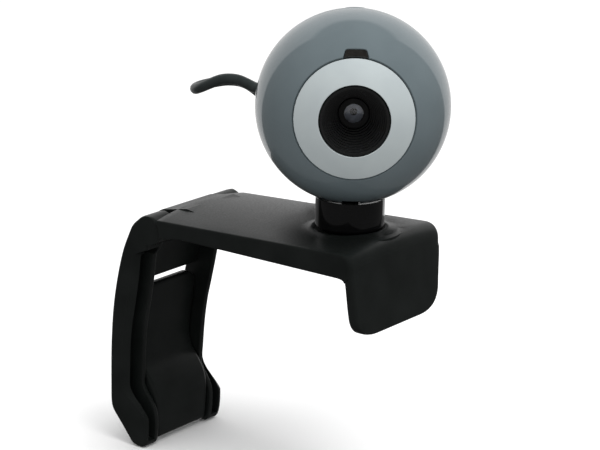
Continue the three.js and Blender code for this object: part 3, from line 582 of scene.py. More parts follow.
# %% [markdown]
# The funnel is one turned piece. Its profile is a flight of ten steps that grow narrower towards the lens.
# %% Funnel
steps = 10
depths = np.linspace(-27.6, -12.5, steps + 1)
widths = np.linspace(9.5, 4.9, steps)
corners = [(10.45, -27.75)]
for width, near, far in zip(widths, depths, depths[1:]):
    corners += [(width, near), (width - 0.06, far)]
corners.append((6.0, -12.5))
funnel = add_mesh("funnel", turned(fillet(corners, 0.12, 2), 96), on_head)
settle(funnel, "focus", "lens_black", ["lens_funnel"])

# %% [markdown]
# The lens is two pieces of glass in a barrel. A glass with nothing behind it would show a black hole, but a
# real one has a thin iris round a small opening. The iris's pale cool grey is a painted reflection, the grey
# gleam of the coated glass round a black pupil. A dark disc close behind the opening is painted shade that
# stands for the depth there. The renderer does not send a lamp's light through refracting glass, so the
# glass casts no shadow and lets scattered light past it to the iris.
# %% Barrel, lenses and iris
barrel_profile = [
    (2.9, -14), (4.6, -14), (4.6, -11.6), (4.0, -11.2), (4.0, -5), (2.3, -5), (2.3, -8.6), (3.6, -8.9),
    (3.6, -13), (2.9, -13.3),
]
barrel = add_mesh("barrel", turned(fillet(barrel_profile, 0.15, 3), 96), on_head)
settle(barrel, "lens", "lens_black", ["lens_barrel"])


def glass(radius, front, edge, bulge, sides=64):
    """A lens with a bulging face and a flat back."""
    face = [(radius * t, front + bulge * t * t) for t in np.linspace(0, 0.97, 12)]
    rim = [(radius, front + bulge + 0.1), (radius, front + bulge + edge), (0, front + bulge + edge)]
    return turned(face + rim, sides)


outer_glass = add_mesh("outer_glass", glass(3.3, -12.8, 1, 1), on_head)
settle(outer_glass, "lens", "lens_glass", ["front_lens"])
inner_glass = add_mesh("inner_glass", glass(3.3, -9.9, 0.4, 0.6), on_head)
settle(inner_glass, "lens", "lens_glass", ["rear_lens"])
iris_profile = [(0.95, -10.2), (3.25, -10.76), (3.25, -10.66), (0.95, -10.1)]
# Painted reflection: the iris's pale cool grey stands in for the gleam of the coated glass.
iris = add_mesh("iris", turned(iris_profile, 64), on_head)
settle(iris, "lens", "lens_black")
# Painted shade: a dark disc behind the opening stands in for the depth there.
pupil_shade_disc = add_mesh("pupil_shade_disc", turned([(0, -10.05), (1.5, -10.05), (1.5, -9.95), (0, -9.95)], 48), on_head)
settle(pupil_shade_disc, "lens", "lens_black")
for element in (outer_glass, inner_glass):
    element.visible_shadow = False
    element.visible_diffuse = False

# %% [markdown]
# The window and the button are plugs in their holes. Their rims are rounded by the last few levels and
# their faces follow the ball, so that they catch the light as the ball does.
# %% Window and button
window_levels = [(28.2, 0), (29.8, 0), (29.9, -0.04), (29.96, -0.12), (29.98, -0.25)]
smoked_window = add_mesh("smoked_window", domed(window_outline, on_front, window_levels, 29.99), on_head)
settle(smoked_window, "head", "window_smoke", ["led_window"])
true_normals(smoked_window, 29.99)
button_levels = [(25.5, 0.7), (26.2, 0.7), (26.2, 0)]
button_levels += [(29.9, 0), (30.02, -0.05), (30.1, -0.16), (30.14, -0.34)]
picture_button = add_mesh("picture_button", domed(button_outline, on_top, button_levels, 30.15), on_head)
settle(picture_button, "button", "shell_front", ["snapshot_button"])

# %% [markdown]
# The cord leaves the ball through a tapered sleeve with rings cut in it. The rings let it bend in an even
# curve.
# %% Strain relief
sleeve_profile = [(0, 25), (4.9, 25), (4.9, 26.4), (3.7, 26.4), (3.7, 31.4), (3.2, 31.9)]
for i in range(6):
    y = 32.4 + 1.55 * i
    wide = 3.5 - 0.13 * i
    sleeve_profile += [(wide, y), (wide - 0.05, y + 0.9), (wide - 0.55, y + 1.0), (wide - 0.55, y + 1.45)]
sleeve_profile += [(2.65, 41.8), (2.5, 42), (0, 42)]
sleeve_radii = [0] + [0.12] * (len(sleeve_profile) - 2) + [0]
sleeve = add_mesh("sleeve", turned(fillet(sleeve_profile, sleeve_radii, 2), 48), on_relief)
settle(sleeve, "head", "cord_jacket", ["strain_relief"])

# %% [markdown]
# ## The neck
# The neck is a short polished post with a spherical saddle on top. A square tongue stands up from it into
# the slot in the ball, and a spigot below turns in the plate.
# %% Neck
SADDLE = BALL + 0.35
saddle_line = [(r, CENTRE_HEIGHT - math.sqrt(SADDLE**2 - r * r)) for r in np.linspace(10.8, 0, 14)]
post_line = [(0, 9.0), (10.8, 9.0), *saddle_line]
neck_radii = [0, 1.5, 0.22] + [0] * (len(saddle_line) - 1)
neck_body = add_mesh("neck_body", turned(fillet(post_line, neck_radii, 6), 144, "z"), on_neck)


def block(low, high, radius=0.3):
    """A block between two corners, its upright edges rounded."""
    (x0, y0, z0), (x1, y1, z1) = low, high
    outline = fillet([(x0, y0), (x1, y0), (x1, y1), (x0, y1)], radius)
    return skin([[(x, y, z) for x, y in outline] for z in (z0, z1)])


saddle_floor = CENTRE_HEIGHT - SADDLE
tongue = block((-2.5, -2.5, saddle_floor - 2), (2.5, 2.5, CENTRE_HEIGHT - BALL + WALL))
carve(neck_body, tongue, on_neck, "UNION")
carve(neck_body, turned([(0, 3.7), (5, 3.7), (5, 10), (0, 10)], 64, "z"), on_neck, "UNION")
settle(neck_body, "neck", "neck_plastic", ["neck_post"])

# %% [markdown]
# ## The top plate and its lip
# Plate and lip are one moulding: a thick wedge that turns down in front into a thin lip. We loft it along a
# path that runs forwards over the plate, round the bend and down the lip. A section is a flat-bottomed
# loaf: `loaf` draws it from its half width, its thickness, how much its top is crowned and how round its
# edges are.
# %% A section with a crowned top
def loaf(half, thick, crown, top_edge, low_edge, inset=0):
    """Points (across, height) of a section whose height runs from inset to thick - inset."""
    low, shoulder = inset, thick - inset - crown
    corners = [(-half, low), (half, low), (half, shoulder)]
    for share in (0.8, 0.6, 0.4, 0.2, 0, -0.2, -0.4, -0.6, -0.8):
        corners.append((half * share, thick - inset - crown * share * share))
    corners.append((-half, shoulder))
    return fillet(corners, [low_edge, low_edge, top_edge] + [0] * 9 + [top_edge], 6)


def bezier(a, b, c, t):
    a, b, c = (np.array(point, float) for point in (a, b, c))
    return (1 - t) ** 2 * a + 2 * t * (1 - t) * b + t * t * c


def crown_at(y):
    """How much higher the plate is along its middle than at its sides; more so at the hinge."""
    return float(np.interp(y, (5, 59), (1.2, 2.3)))


def plate_half(y):
    return np.interp(y, (-12, 59), (24.4, 22.9))


def plate_top(x, y):
    """The height of the plate's top: it rises forwards and is crowned across."""
    return 7.5 - math.tan(math.radians(2.5)) * y + crown_at(y) * (1 - (x / plate_half(y)) ** 2)


# %% [markdown]
# Each station of the path holds a point on the inner face, a point on the outer face and the section's half
# width. The lip's lower corners come from the half width shrinking along a curve, and three last stations
# round its tip.
# %% The plate's stations
REAR, FRONT, LIP_THICK = 59, -18.3, 3
lean = math.tan(math.radians(4))
stations = []
for y in (REAR, REAR - 0.15, REAR - 0.6, 56, 53, 50.5, 49, 36, 22, 8, 0, -6):
    low = 0.4 - 1.3 * smoothstep((y - 48.5) / 9)
    inset = {REAR: 0.6, REAR - 0.15: 0.2}.get(y, 0)
    stations.append(((y, low), (y, plate_top(0, y)), plate_half(y) - inset, inset, 0))
bend_corner = (FRONT, plate_top(0, FRONT))
for t in np.linspace(0, 1, 13):
    outer = bezier((FRONT + 6, plate_top(0, FRONT + 6)), bend_corner, (FRONT, 2.7), t)
    inner = bezier((-12.3, 0.4), (-15.0, 0.4), (-15.35, -0.7), t)
    stations.append((inner, outer, 24.4, 0, t))


def lip_face(z):
    return FRONT + lean * (z - 2.7)


for z in (1.2, -1.5, -5, -8.5):
    outer = (lip_face(z), z)
    inner = (lip_face(z) + LIP_THICK, z - 1.2 if z > 0 else z - 0.6)
    stations.append((inner, outer, np.interp(z, (-11.1, 2.7), (23.0, 24.4)), 0, 1))
for t in np.linspace(0, 0.95, 14):
    half, z = bezier((23.0, -11.1), (22.4, -18.6), (12.1, -18.35), t)
    stations.append(((lip_face(z) + LIP_THICK, z), (lip_face(z), z), half, 0, 1))
for z, half, inset in ((-18.45, 12.4, 0.35), (-18.55, 11.6, 0.8), (-18.6, 10.4, 1.3)):
    stations.append(((lip_face(z) + LIP_THICK, z), (lip_face(z), z), half, inset, 1))

# %% [markdown]
# Each station becomes one section of the skin, square to the line from its inner point to its outer one.
# %% The plate's body
rings = []
for inner, outer, half, inset, turned_down in stations:
    inner, outer = np.array(inner, float), np.array(outer, float)
    thick = float(np.linalg.norm(outer - inner))
    up = (outer - inner) / thick
    crown = crown_at(inner[0]) * max(0.0, float(up[1])) ** 2
    top_edge = 0.8 + 1.4 * turned_down
    section = loaf(half, thick, crown, min(top_edge, 0.45 * thick), 0.4, inset)
    rings.append([(x, *(inner + up * height)) for x, height in section])
plate = add_mesh("plate", skin(rings), on_clip)

# %% [markdown]
# Round the neck the plate swells into a low collar. It is a ring of points whose height is the plate's own
# top plus a small swell, so it blends into the slope without a line.
# %% The collar
swell = [
    (16.5, -0.6), (15.6, -0.05), (14.6, 0.07), (13.7, 0.2), (12.9, 0.4), (12.3, 0.6), (11.9, 0.7),
    (11.6, 0.72), (11.35, 0.64), (11.15, 0.42), (11.1, -0.8), (11.1, -3), (16.5, -3),
]
collar_rings = []
for radius, rise in swell:
    ring = []
    for a in np.linspace(0, 2 * math.pi, 144, endpoint=False):
        x, y = radius * math.cos(a), radius * math.sin(a)
        ring.append((x, y, plate_top(x, y) + rise))
    collar_rings.append(ring)
hinge_y, hinge_z = 63, 0.5
PIN_BORE = 1.8
seat = turned([(0, 8.0), (9.8, 8.0), (10.6, 8.3), (11.1, 9.0), (11.1, 14), (0, 14)], 144, "z")
carve(plate, seat, on_clip)
carve(plate, skin(collar_rings, caps=False), on_clip, "UNION")
carve(plate, turned([(0, 0), (5.3, 0), (5.3, 10), (0, 10)], 96, "z"), on_clip)
carve(plate, turned([(0, -1), (9, -1), (9, 4.6), (0, 4.6)], 96, "z"), on_clip)

# %% [markdown]
# At the back a tongue carries the hinge pin between the leg's two ears, and the plate's corners are cut
# round to make room for them. Underneath are shallow beds for the pads and three pockets that keep the wall
# even.
# %% Hinge tongue and cuts
def across(outline, low, high):
    """A slab: an outline in the clip's side view, from one distance across to another."""
    return skin([[(x, y, z) for y, z in outline] for x in (low, high)])


def round_in_side(centre, radius, start, end, steps=24):
    angles = np.radians(np.linspace(start, end, steps + 1))
    return [(centre[0] + radius * math.cos(a), centre[1] + radius * math.sin(a)) for a in angles]


hinge = (hinge_y, hinge_z)
tongue_side = [(49, 0.4), *round_in_side(hinge, 5.2, -100, 90)]
tongue_side += [(55, plate_top(0, 55) - 0.1), (49, plate_top(0, 49) - 1)]
tongue_radii = [0, *[0] * 25, 1.5, 0]
carve(plate, across(fillet(tongue_side, tongue_radii), -12.2, 12.2), on_clip, "UNION")
for side in (-1, 1):
    low, high = sorted((side * 12.2, side * 28))
    carve(plate, across(round_in_side(hinge, 5.4, 0, 352.5, 47), low, high), on_clip)
carve(plate, across(round_in_side(hinge, PIN_BORE, 0, 345, 23), -13, 13), on_clip)
carve(plate, block((-18.3, -13.3, -4), (18.3, 13.3, 1.5)), on_clip)
carve(plate, block((-18.3, 38.2, -4), (18.3, 47.8, 1.5)), on_clip)
for column in (-12.6, 0, 12.6):
    carve(plate, block((column - 5.5, 17.5, -2), (column + 5.5, 34.5, 2.9), 1), on_clip)
pad_y, pad_z = FRONT + LIP_THICK + lean * -8.5, -8.5
on_lip = on_clip @ Matrix.Translation((0, pad_y, pad_z)) @ Matrix.Rotation(math.radians(-4), 4, "X")
carve(plate, block((-16.3, -0.9, -4.8), (16.3, 1.1, 4.8), 0.1), on_lip)
settle(plate, "base", "clip_plastic", ["top_plate"], 28)

# %% [markdown]
# The pads are soft, so their edges are rounded all round. `cushion` draws a flat pad as rounded rectangles
# that shrink towards both faces.
# %% Pads
def cushion(width, length, low, high, round_by=0.35, corner=1.2):
    rings = []
    for z, inset in ((low, round_by), (low + round_by * 0.3, round_by * 0.3), (low + round_by, 0)):
        rings.append((z, inset))
    rings += [(high - round_by, 0), (high - round_by * 0.3, round_by * 0.3), (high, round_by)]
    skins = []
    for z, inset in rings:
        w, l = width / 2 - inset, length / 2 - inset
        outline = fillet([(-w, -l), (w, -l), (w, l), (-w, l)], corner)
        skins.append([(x, y, z) for x, y in outline])
    return skin(skins)


pad = add_mesh("pad_front", cushion(36, 26, 0, 1.2), on_clip)
settle(pad, "base", "pad_rubber", ["underside_pad"])
pad_back = add_mesh("pad_back", cushion(36, 9, 0, 1.2), on_clip @ Matrix.Translation((0, 43, 0)))
settle(pad_back, "base", "pad_rubber", ["underside_pad_rear"])

# %% [markdown]
# The lip's pad leans with the lip. It is the same cushion stood on its edge: its matrix turns its height to
# point at the object that the lip grips.
# %% Lip pad
upright_pad = on_lip @ Matrix.Translation((0, -0.6, 0)) @ Matrix.Rotation(math.radians(-90), 4, "X")
lip_cushion = add_mesh("lip_cushion", cushion(32, 9, 0, 0.9, 0.3, 1), upright_pad)
settle(lip_cushion, "base", "pad_rubber", ["lip_pad"])

# %% [markdown]
# ## The rear leg
# Each rail of the leg is a channel: a curved back, an outer and an inner wall and an open groove down its
# front. At its top it swells into a round ear on the hinge, and at its foot the groove closes. We loft it
# upwards: at each height the back and front edges come from two smooth curves, and the groove's depth fades
# in and out.
# %% The leg's edges
LEG_FOOT = hinge_z - 75.3
back_line = [
    (66.6, 4.0), (69.3, 1.5), (71.4, -2.5), (73.7, -8), (76.2, -17), (78.3, -28), (79.5, -40.5), (80, -54.5),
    (80, -61.6), (79.5, -63.6), (75.7, -68.5), (72.3, -72.8), (71.3, -74.0), (69.8, LEG_FOOT),
]
front_line = [
    (63.4, -4.8), (64.3, -9.5), (65.4, -17.5), (66.9, -25.5), (68.4, -33), (69.3, -40.5), (69.8, -50.5),
    (69.9, -54.5), (69.2, -56.3), (67.2, -59), (65.8, -61.3), (65, -63.5), (64.7, -66.5), (65.0, -71.5),
    (65.9, -74.2), (67.4, LEG_FOOT),
]


def edge_at(line):
    """A function from a height to the smooth edge's distance backwards."""
    smooth = through([(y, z, 0) for y, z in line], 0.5)[::-1]
    order = np.argsort(smooth[:, 1])
    heights, distances = smooth[order, 1], smooth[order, 0]
    return lambda z: float(np.interp(z, heights, distances))


back_edge, front_edge = edge_at(back_line), edge_at(front_line)
EAR = 5


def ear_reach(z):
    return math.sqrt(max(0, EAR**2 - (z - hinge_z) ** 2))


def rail_back(z):
    return hinge_y + ear_reach(z) if z > 4.0 else back_edge(z)


def rail_front(z):
    return hinge_y - ear_reach(z) if z > -4.3 else front_edge(z)


def rail_outer(z):
    return 22.4 - 0.0346 * (5.5 - z)


# %% [markdown]
# A section of the rail is a U with eight corners. The outer wall of the U stands back from the inner one
# and is bevelled along most of the leg. Where there is no groove the same eight corners lie almost in one
# line, so every section keeps the same number of points and the skin stays clean.
# %% The rails
EAR_INNER = 13.4


def rail_inner(z):
    return float(np.interp(z, (-8.4, -7.2, -5.6), (rail_outer(z) - 6.4, EAR_INNER + 0.5, EAR_INNER)))


def rail_section(z, side):
    xo, xi, yb, yf = rail_outer(z), rail_inner(z), rail_back(z), rail_front(z)
    open_share = float(np.interp(z, (LEG_FOOT + 2.2, LEG_FOOT + 3.0, -7.6, -6.4), (0, 1, 1, 0)))
    groove = yf + 0.02 + open_share * max(0.0, yb - 2.5 - yf)
    back_step = float(np.interp(z, (-64.5, -58.5, -8.5, -6.3), (0, 1, 1, 0)))
    set_back, bevel = 2.0 * back_step, 0.25 + 2.6 * back_step
    foot = float(np.interp(z, (LEG_FOOT, LEG_FOOT + 0.25, LEG_FOOT + 0.9), (0.7, 0.3, 0)))
    xo, xi = xo - foot, xi + foot
    left, right = xi + 1.7, xo - 1.4
    corners = [(xo, yb), (xi, yb), (xi, yf), (left, yf), (left, groove + 0.02)]
    corners += [(right, groove + set_back + 0.02), (right, yf + set_back), (xo, yf + set_back + bevel)]
    if groove + 0.05 > yf + set_back:
        corners[5] = (right, max(groove, yf + set_back) + 0.04)
    radii = [1.3, 0.9, 0.5, 0.3, 0.4, 0.4, 0.25, 0.6]
    return [(side * x, y, z) for x, y in fillet(corners, radii, 4)]


heights = [LEG_FOOT, LEG_FOOT + 0.1, LEG_FOOT + 0.3, LEG_FOOT + 0.6, *np.linspace(LEG_FOOT + 0.9, -57, 30)]
heights += [*np.linspace(-56, -11, 34), *np.linspace(-10.2, -4.5, 26), -4.3, -4.2, *np.linspace(-4, 4, 17)]
heights += [hinge_z + EAR * math.sin(math.radians(a)) for a in (50, 56, 62, 67, 72, 77, 82, 86, 89)]
leg = add_mesh("leg", several(*[skin([rail_section(z, side) for z in heights]) for side in (-1, 1)]), on_clip)

# %% [markdown]
# A crossbar joins the rails at the top. Its faces follow the rails' backs, a little inside them.
# %% Crossbar and pin holes
def plank(half_at, front_at, back_at, heights, edge=0.8, ends=0.5):
    """A board lofted upwards: a rounded rectangle that shrinks a little at the first and last heights."""
    rings = []
    low, high = heights[0], heights[-1]
    for z in heights:
        near = min(z - low, high - z)
        inset = ends - math.sqrt(max(0.0, ends**2 - max(0.0, ends - near) ** 2))
        half, front, back = half_at(z), front_at(z) + inset, back_at(z) - inset
        outline = fillet([(-half, front), (half, front), (half, back), (-half, back)], edge, 5)
        rings.append([(x, y, z) for x, y in outline])
    return skin(rings)


bar_heights = [-20.2, -20.17, -20.05, -19.9, -19.7, *np.linspace(-19.2, -4.5, 16)]
bar_heights += [-4.0, -3.8, -3.65, -3.53, -3.5]
crossbar = plank(lambda z: 15.9, lambda z: back_edge(z) - 4.0, lambda z: back_edge(z) - 0.4, bar_heights, 0.3)
carve(leg, crossbar, on_clip, "UNION")
carve(leg, across(round_in_side(hinge, PIN_BORE, 0, 345, 23), -20.8, 20.8), on_clip)
flap_hinge = (70, -68.5)
carve(leg, across(round_in_side(flap_hinge, PIN_BORE, 0, 345, 23), -17.9, 17.9), on_clip)
settle(leg, "leg", "clip_plastic", ["rear_leg"], 30)

# %% [markdown]
# ## The flap
# The flap lies between the rails and swings out on the lower pin. Its face bulges forwards at the foot in
# an S. Its free upper corners are rounded, which the loft gets from a half width that shrinks along a
# quarter of a circle.
# %% Flap
flap_front_line = [
    (71.6, -22), (71.8, -24.5), (72.6, -32.5), (73.3, -39.5), (73.5, -44.5), (72.4, -48.5), (69.2, -52.5),
    (66.7, -56.5), (65.6, -60.5), (65.5, -66), (65.7, -71), (66.4, -73.4), (67.6, -74.1),
]
flap_back_line = [
    (75.2, -22), (75.4, -24.5), (76.2, -32.5), (76.9, -39.5), (77.1, -44.5), (76.4, -52.5), (75.8, -60),
    (75.4, -66.5), (74.8, -70), (73.4, -72.6), (71.0, -74.1),
]
flap_front, flap_back = edge_at(flap_front_line), edge_at(flap_back_line)
corner_round = 5


def flap_half(z):
    full = rail_outer(z) - 6.9
    above = max(0.0, z - (-22 - corner_round))
    return full - (corner_round - math.sqrt(max(0.0, corner_round**2 - above**2)))


flap_heights = [-74.1, -74.05, -73.9, -73.6, *np.linspace(-73, -46, 40), *np.linspace(-45, -27.5, 14)]
flap_heights += [-22 - corner_round + corner_round * math.sin(math.radians(a)) for a in range(0, 75, 6)]
flap_heights += [-22.2, -22.1, -22.03, -22.0]
flap_shape = plank(flap_half, flap_front, flap_back, flap_heights, 1.3, 1.3)
flap = add_mesh("flap", flap_shape, on_clip)
carve(flap, across(round_in_side(flap_hinge, PIN_BORE, 0, 345, 23), -20, 20), on_clip)
settle(flap, "flap", "clip_plastic", ["rear_flap"], 30)

# %% [markdown]
# ## Tie and plug
# A soft tie holds the coil. It is a band round the bundle, with the two ends twisted together and folded
# flat. The band's own axes stand on the coil: outwards, backwards and along the cord.
# %% Tie
tie_angle = math.radians(125)
outwards = Vector((math.cos(tie_angle), 0, math.sin(tie_angle)))
along_coil = outwards.cross(Vector((0, 1, 0)))
tie_middle = Vector(coil_middle) + outwards * coil_radius
tie_axes = Matrix((outwards, along_coil, outwards.cross(along_coil))).transposed().to_4x4()
on_tie = on_cord @ Matrix.Translation(tie_middle) @ tie_axes
band = fillet([(7.85, -2.5), (8.9, -2.5), (8.9, 2.5), (7.85, 2.5)], 0.35, 4)
tie = add_mesh("tie", turned(band, 64), on_tie)
buckle = cushion(4.2, 6.4, 0, 1.6, 0.3, 0.8)
carve(tie, add_mesh("buckle", buckle, on_tie @ Matrix.Translation((0, 0, 8.3))), on_tie, "UNION")
settle(tie, "neck", "tie_strap", ["cable_tie"])

# %% [markdown]
# The plug's grip is moulded over the metal shell: a body with soft edges, a narrower shoulder and a round
# collar for the cord. Shallow ribs on both faces help the fingers. The metal shell is folded sheet, open in
# front, with two square windows that the socket's springs catch in.
# %% Plug grip
plug_at = Vector((-7, 55.3, 3.2))
on_plug = on_cord @ Matrix.Translation(plug_at)


def upright_loft(levels):
    """A body lofted upwards through rounded rectangles: (height, width, length, corner)."""
    rings = []
    for z, w, l, corner in levels:
        outline = fillet([(-w / 2, -l / 2), (w / 2, -l / 2), (w / 2, l / 2), (-w / 2, l / 2)], corner, 6)
        rings.append([(x, y, z) for x, y in outline])
    return skin(rings)


levels = [(-25, 14.8, 6.8, 1.5), (-24.8, 15.5, 7.5, 1.8), (-24.3, 16, 8, 2)]
for i in range(6):
    z = -21.5 + 1.7 * i
    levels += [(z, 16, 8, 2), (z + 0.25, 15.5, 7.4, 1.8), (z + 0.65, 15.5, 7.4, 1.8), (z + 0.9, 16, 8, 2)]
levels += [(-9.5, 15.8, 7.9, 2), (-7.5, 15.0, 7.6, 2.2), (-6, 13.4, 7.0, 2.4)]
levels += [(-4.6, 10.6, 6.6, 3), (-3.4, 8, 6.2, 3)]
levels += [(-2.6, 6.3, 5.9, 2.8), (-1.5, 5.6, 5.6, 2.7), (-0.2, 5.2, 5.2, 2.5), (0, 4.8, 4.8, 2.3)]
grip = add_mesh("grip", upright_loft(levels), on_plug)
settle(grip, "neck", "plug_plastic", ["plug_grip"])

# %% [markdown]
# The shell is a box with a smaller box cut out of its open end. A flat tongue that carries the contacts
# stands inside it, to one side of the middle.
# %% Plug shell and tongue
sheet_metal = [(-13, 11.7, 4.2, 0.5), (-12.9, 12, 4.5, 0.5), (-6, 12, 4.5, 0.5), (0, 12, 4.5, 0.5)]
on_shell = on_plug @ Matrix.Translation((0, 0, -25.3))
metal = add_mesh("metal", upright_loft(sheet_metal), on_shell)
carve(metal, upright_loft([(-15, 11.2, 3.7, 0.3), (-1.5, 11.2, 3.7, 0.3)]), on_shell)
for x in (-2.9, 2.9):
    carve(metal, block((x - 1.1, -4, -7.3), (x + 1.1, 4, -5.1), 0.1), on_shell)
settle(metal, "neck", "plug_metal", ["plug_shell"])
tongue_shape = block((-5.2, -0.85 + 0.75, -11.9), (5.2, 0.85 + 0.75, -2.4), 0.2)
contacts = add_mesh("contacts", tongue_shape, on_shell)
settle(contacts, "neck", "bearing_nylon", ["plug_tongue"])

# %% [markdown]
# ## Finishes
# Every finish starts from the same few nodes, so we make helpers for them. Texture sizes are given in
# millimetres: the coordinates are in metres, so a noise of scale 1000 has blotches of about a millimetre.
# `tone` turns a colour as a screen shows it into the linear numbers that a shader wants.
# %% Helpers for finishes
def tone(red, green, blue):
    """A screen colour, 0 to 255, as linear numbers with an alpha of 1."""
    linear = []
    for value in (red, green, blue):
        value /= 255
        linear.append(value / 12.92 if value <= 0.04045 else ((value + 0.055) / 1.055) ** 2.4)
    return (*linear, 1.0)


class Finish:
    """A material with its Principled shader, and short ways to add noise, speckle, colour change and bump."""

    def __init__(self, name, roughness, metallic=0.0, coat=0.0, coat_roughness=0.03, specular=0.5):
        self.material = bpy.data.materials.new(name)
        self.material.use_nodes = True
        self.nodes = self.material.node_tree.nodes
        self.links = self.material.node_tree.links
        self.shader = self.nodes["Principled BSDF"]
        self.place = self.nodes.new("ShaderNodeTexCoord").outputs["Object"]
        self.shader.inputs["Roughness"].default_value = roughness
        self.shader.inputs["Metallic"].default_value = metallic
        self.shader.inputs["Coat Weight"].default_value = coat
        self.shader.inputs["Coat Roughness"].default_value = coat_roughness
        self.shader.inputs["Specular IOR Level"].default_value = specular

    def stretched(self, x, y, z):
        """The coordinates stretched along an axis, for brushing and moulding flow."""
        node = self.nodes.new("ShaderNodeMapping")
        node.inputs["Scale"].default_value = (x, y, z)
        self.links.new(self.place, node.inputs["Vector"])
        return node.outputs["Vector"]

    def noise(self, size, detail=3.0, rough=0.5, place=None):
        node = self.nodes.new("ShaderNodeTexNoise")
        node.inputs["Scale"].default_value = 1000 / size
        node.inputs["Detail"].default_value = detail
        node.inputs["Roughness"].default_value = rough
        self.links.new(place or self.place, node.inputs["Vector"])
        return node.outputs["Fac"]

    def cells(self, size):
        node = self.nodes.new("ShaderNodeTexVoronoi")
        node.inputs["Scale"].default_value = 1000 / size
        self.links.new(self.place, node.inputs["Vector"])
        return node

    def spread(self, value, low, high):
        """A noise, most of which lies between 0.3 and 0.7, brought to a range of its own."""
        node = self.nodes.new("ShaderNodeMapRange")
        node.inputs["From Min"].default_value = 0.3
        node.inputs["From Max"].default_value = 0.7
        node.inputs["To Min"].default_value = low
        node.inputs["To Max"].default_value = high
        self.links.new(value, node.inputs["Value"])
        return node.outputs["Result"]

    def colours(self, value, *stops):
        """Base colour from a ramp of (position, colour)."""
        ramp = self.nodes.new("ShaderNodeValToRGB")
        elements = ramp.color_ramp.elements
        while len(elements) < len(stops):
            elements.new(0.5)
        for element, (position, colour) in zip(elements, stops):
            element.position = position
            element.color = colour
        self.links.new(value, ramp.inputs["Fac"])
        self.links.new(ramp.outputs["Color"], self.shader.inputs["Base Color"])

    def roughen(self, value, low, high):
        self.links.new(self.spread(value, low, high), self.shader.inputs["Roughness"])

    def bump(self, value, depth, strength=1.0):
        """Adds a bump of a depth in millimetres on top of any bump that is there already."""
        node = self.nodes.new("ShaderNodeBump")
        node.inputs["Distance"].default_value = depth * MM
        node.inputs["Strength"].default_value = strength
        self.links.new(value, node.inputs["Height"])
        socket = self.shader.inputs["Normal"]
        if socket.is_linked:
            self.links.new(socket.links[0].from_socket, node.inputs["Normal"])
        self.links.new(node.outputs["Normal"], socket)


finishes = {}

# %% [markdown]
# The ball is painted slate grey with a fine metal flake under a clear coat. Paint is never quite even: the
# colour drifts a little over centimetres, the flake sparkles at a tenth of a millimetre, and the clear coat
# has a faint orange-peel wave, which only shows as softly wavering reflections.
# %% Slate paint
slate = Finish("slate_paint", 0.5, metallic=0.1, coat=1.0, coat_roughness=0.02, specular=0.25)
slate.colours(slate.noise(14, 2), (0.3, tone(96, 107, 111)), (0.7, tone(101, 112, 116)))
flake = slate.cells(0.13)
slate.roughen(flake.outputs["Color"], 0.42, 0.56)
slate.bump(flake.outputs["Distance"], 0.004, 0.35)
slate.bump(slate.noise(3.2, 1), 0.003, 0.3)
finishes["shell_front"] = finishes["shell_rear"] = slate.material

# %% [markdown]
# The ring is satin silver paint: paler, with almost no gloss, and very fine speckle.
# %% Silver paint
silver = Finish("silver_paint", 0.42, metallic=0.35, coat=0.15, coat_roughness=0.25)
silver.colours(silver.noise(10, 2), (0.3, tone(199, 208, 210)), (0.7, tone(206, 215, 216)))
grain = silver.cells(0.1)
silver.roughen(grain.outputs["Color"], 0.36, 0.5)
silver.bump(grain.outputs["Distance"], 0.004, 0.4)
finishes["ring_silver"] = silver.material

# %% [markdown]
# The window is smoked plastic. Light soaks in and hardly any comes back, a little warm, so a small drift of
# tone is all it needs, under a polished face.
# %% Smoked window
smoke = Finish("smoked_plastic", 0.12, coat=0.5)
smoke.colours(smoke.noise(2.5, 3), (0.3, tone(21, 20, 19)), (0.7, tone(33, 31, 28)))
smoke.bump(smoke.noise(0.8, 2), 0.003, 0.3)
finishes["window_smoke"] = smoke.material

# %% [markdown]
# Black plastics differ only in their grain and gloss. The lens's black has a powdery grain, the neck is
# polished like a piano key, and the clip is satin with a fine spark-eroded grain.
# %% Black plastics
lens_black = Finish("lens_black", 0.42, specular=0.5)
lens_black.colours(lens_black.noise(0.6, 4), (0.3, tone(19, 20, 20)), (0.7, tone(28, 29, 29)))
lens_black.bump(lens_black.noise(0.12, 3), 0.01, 0.5)
finishes["lens_black"] = lens_black.material

piano = Finish("polished_black", 0.07, coat=0.3)
piano.colours(piano.noise(6, 3), (0.3, tone(10, 10, 11)), (0.7, tone(14, 14, 15)))
piano.roughen(piano.noise(1.2, 4), 0.05, 0.12)
piano.bump(piano.noise(3.5, 2), 0.003, 0.4)
finishes["neck_plastic"] = piano.material

satin = Finish("satin_black", 0.34, specular=0.29)
satin.colours(satin.noise(9, 4), (0.3, tone(18, 21, 20)), (0.7, tone(24, 27, 26)))
satin.roughen(satin.noise(0.5, 3), 0.28, 0.4)
satin.bump(satin.noise(0.16, 3), 0.008, 0.45)
finishes["clip_plastic"] = satin.material

# %% [markdown]
# Rubber is rougher and a little paler than plastic of the same black, because its skin scatters light.
# %% Rubber, cord, tie and plug
rubber = Finish("soft_rubber", 0.8, specular=0.3)
rubber.colours(rubber.noise(1.5, 5, 0.7), (0.3, tone(44, 45, 46)), (0.7, tone(56, 57, 58)))
rubber.bump(rubber.noise(0.3, 4, 0.7), 0.03, 0.7)
finishes["pad_rubber"] = rubber.material

jacket = Finish("cord_jacket", 0.42)
jacket.colours(jacket.noise(3, 4), (0.3, tone(34, 40, 40)), (0.7, tone(44, 50, 50)))
jacket.roughen(jacket.noise(0.8, 3), 0.36, 0.5)
jacket.bump(jacket.noise(0.35, 3), 0.015, 0.5)
finishes["cord_jacket"] = jacket.material

strap = Finish("tie_strap", 0.5)
strap.colours(strap.noise(1.2, 4), (0.3, tone(20, 20, 21)), (0.7, tone(30, 30, 31)))
strap.bump(strap.noise(0.25, 3), 0.02, 0.6)
finishes["tie_strap"] = strap.material

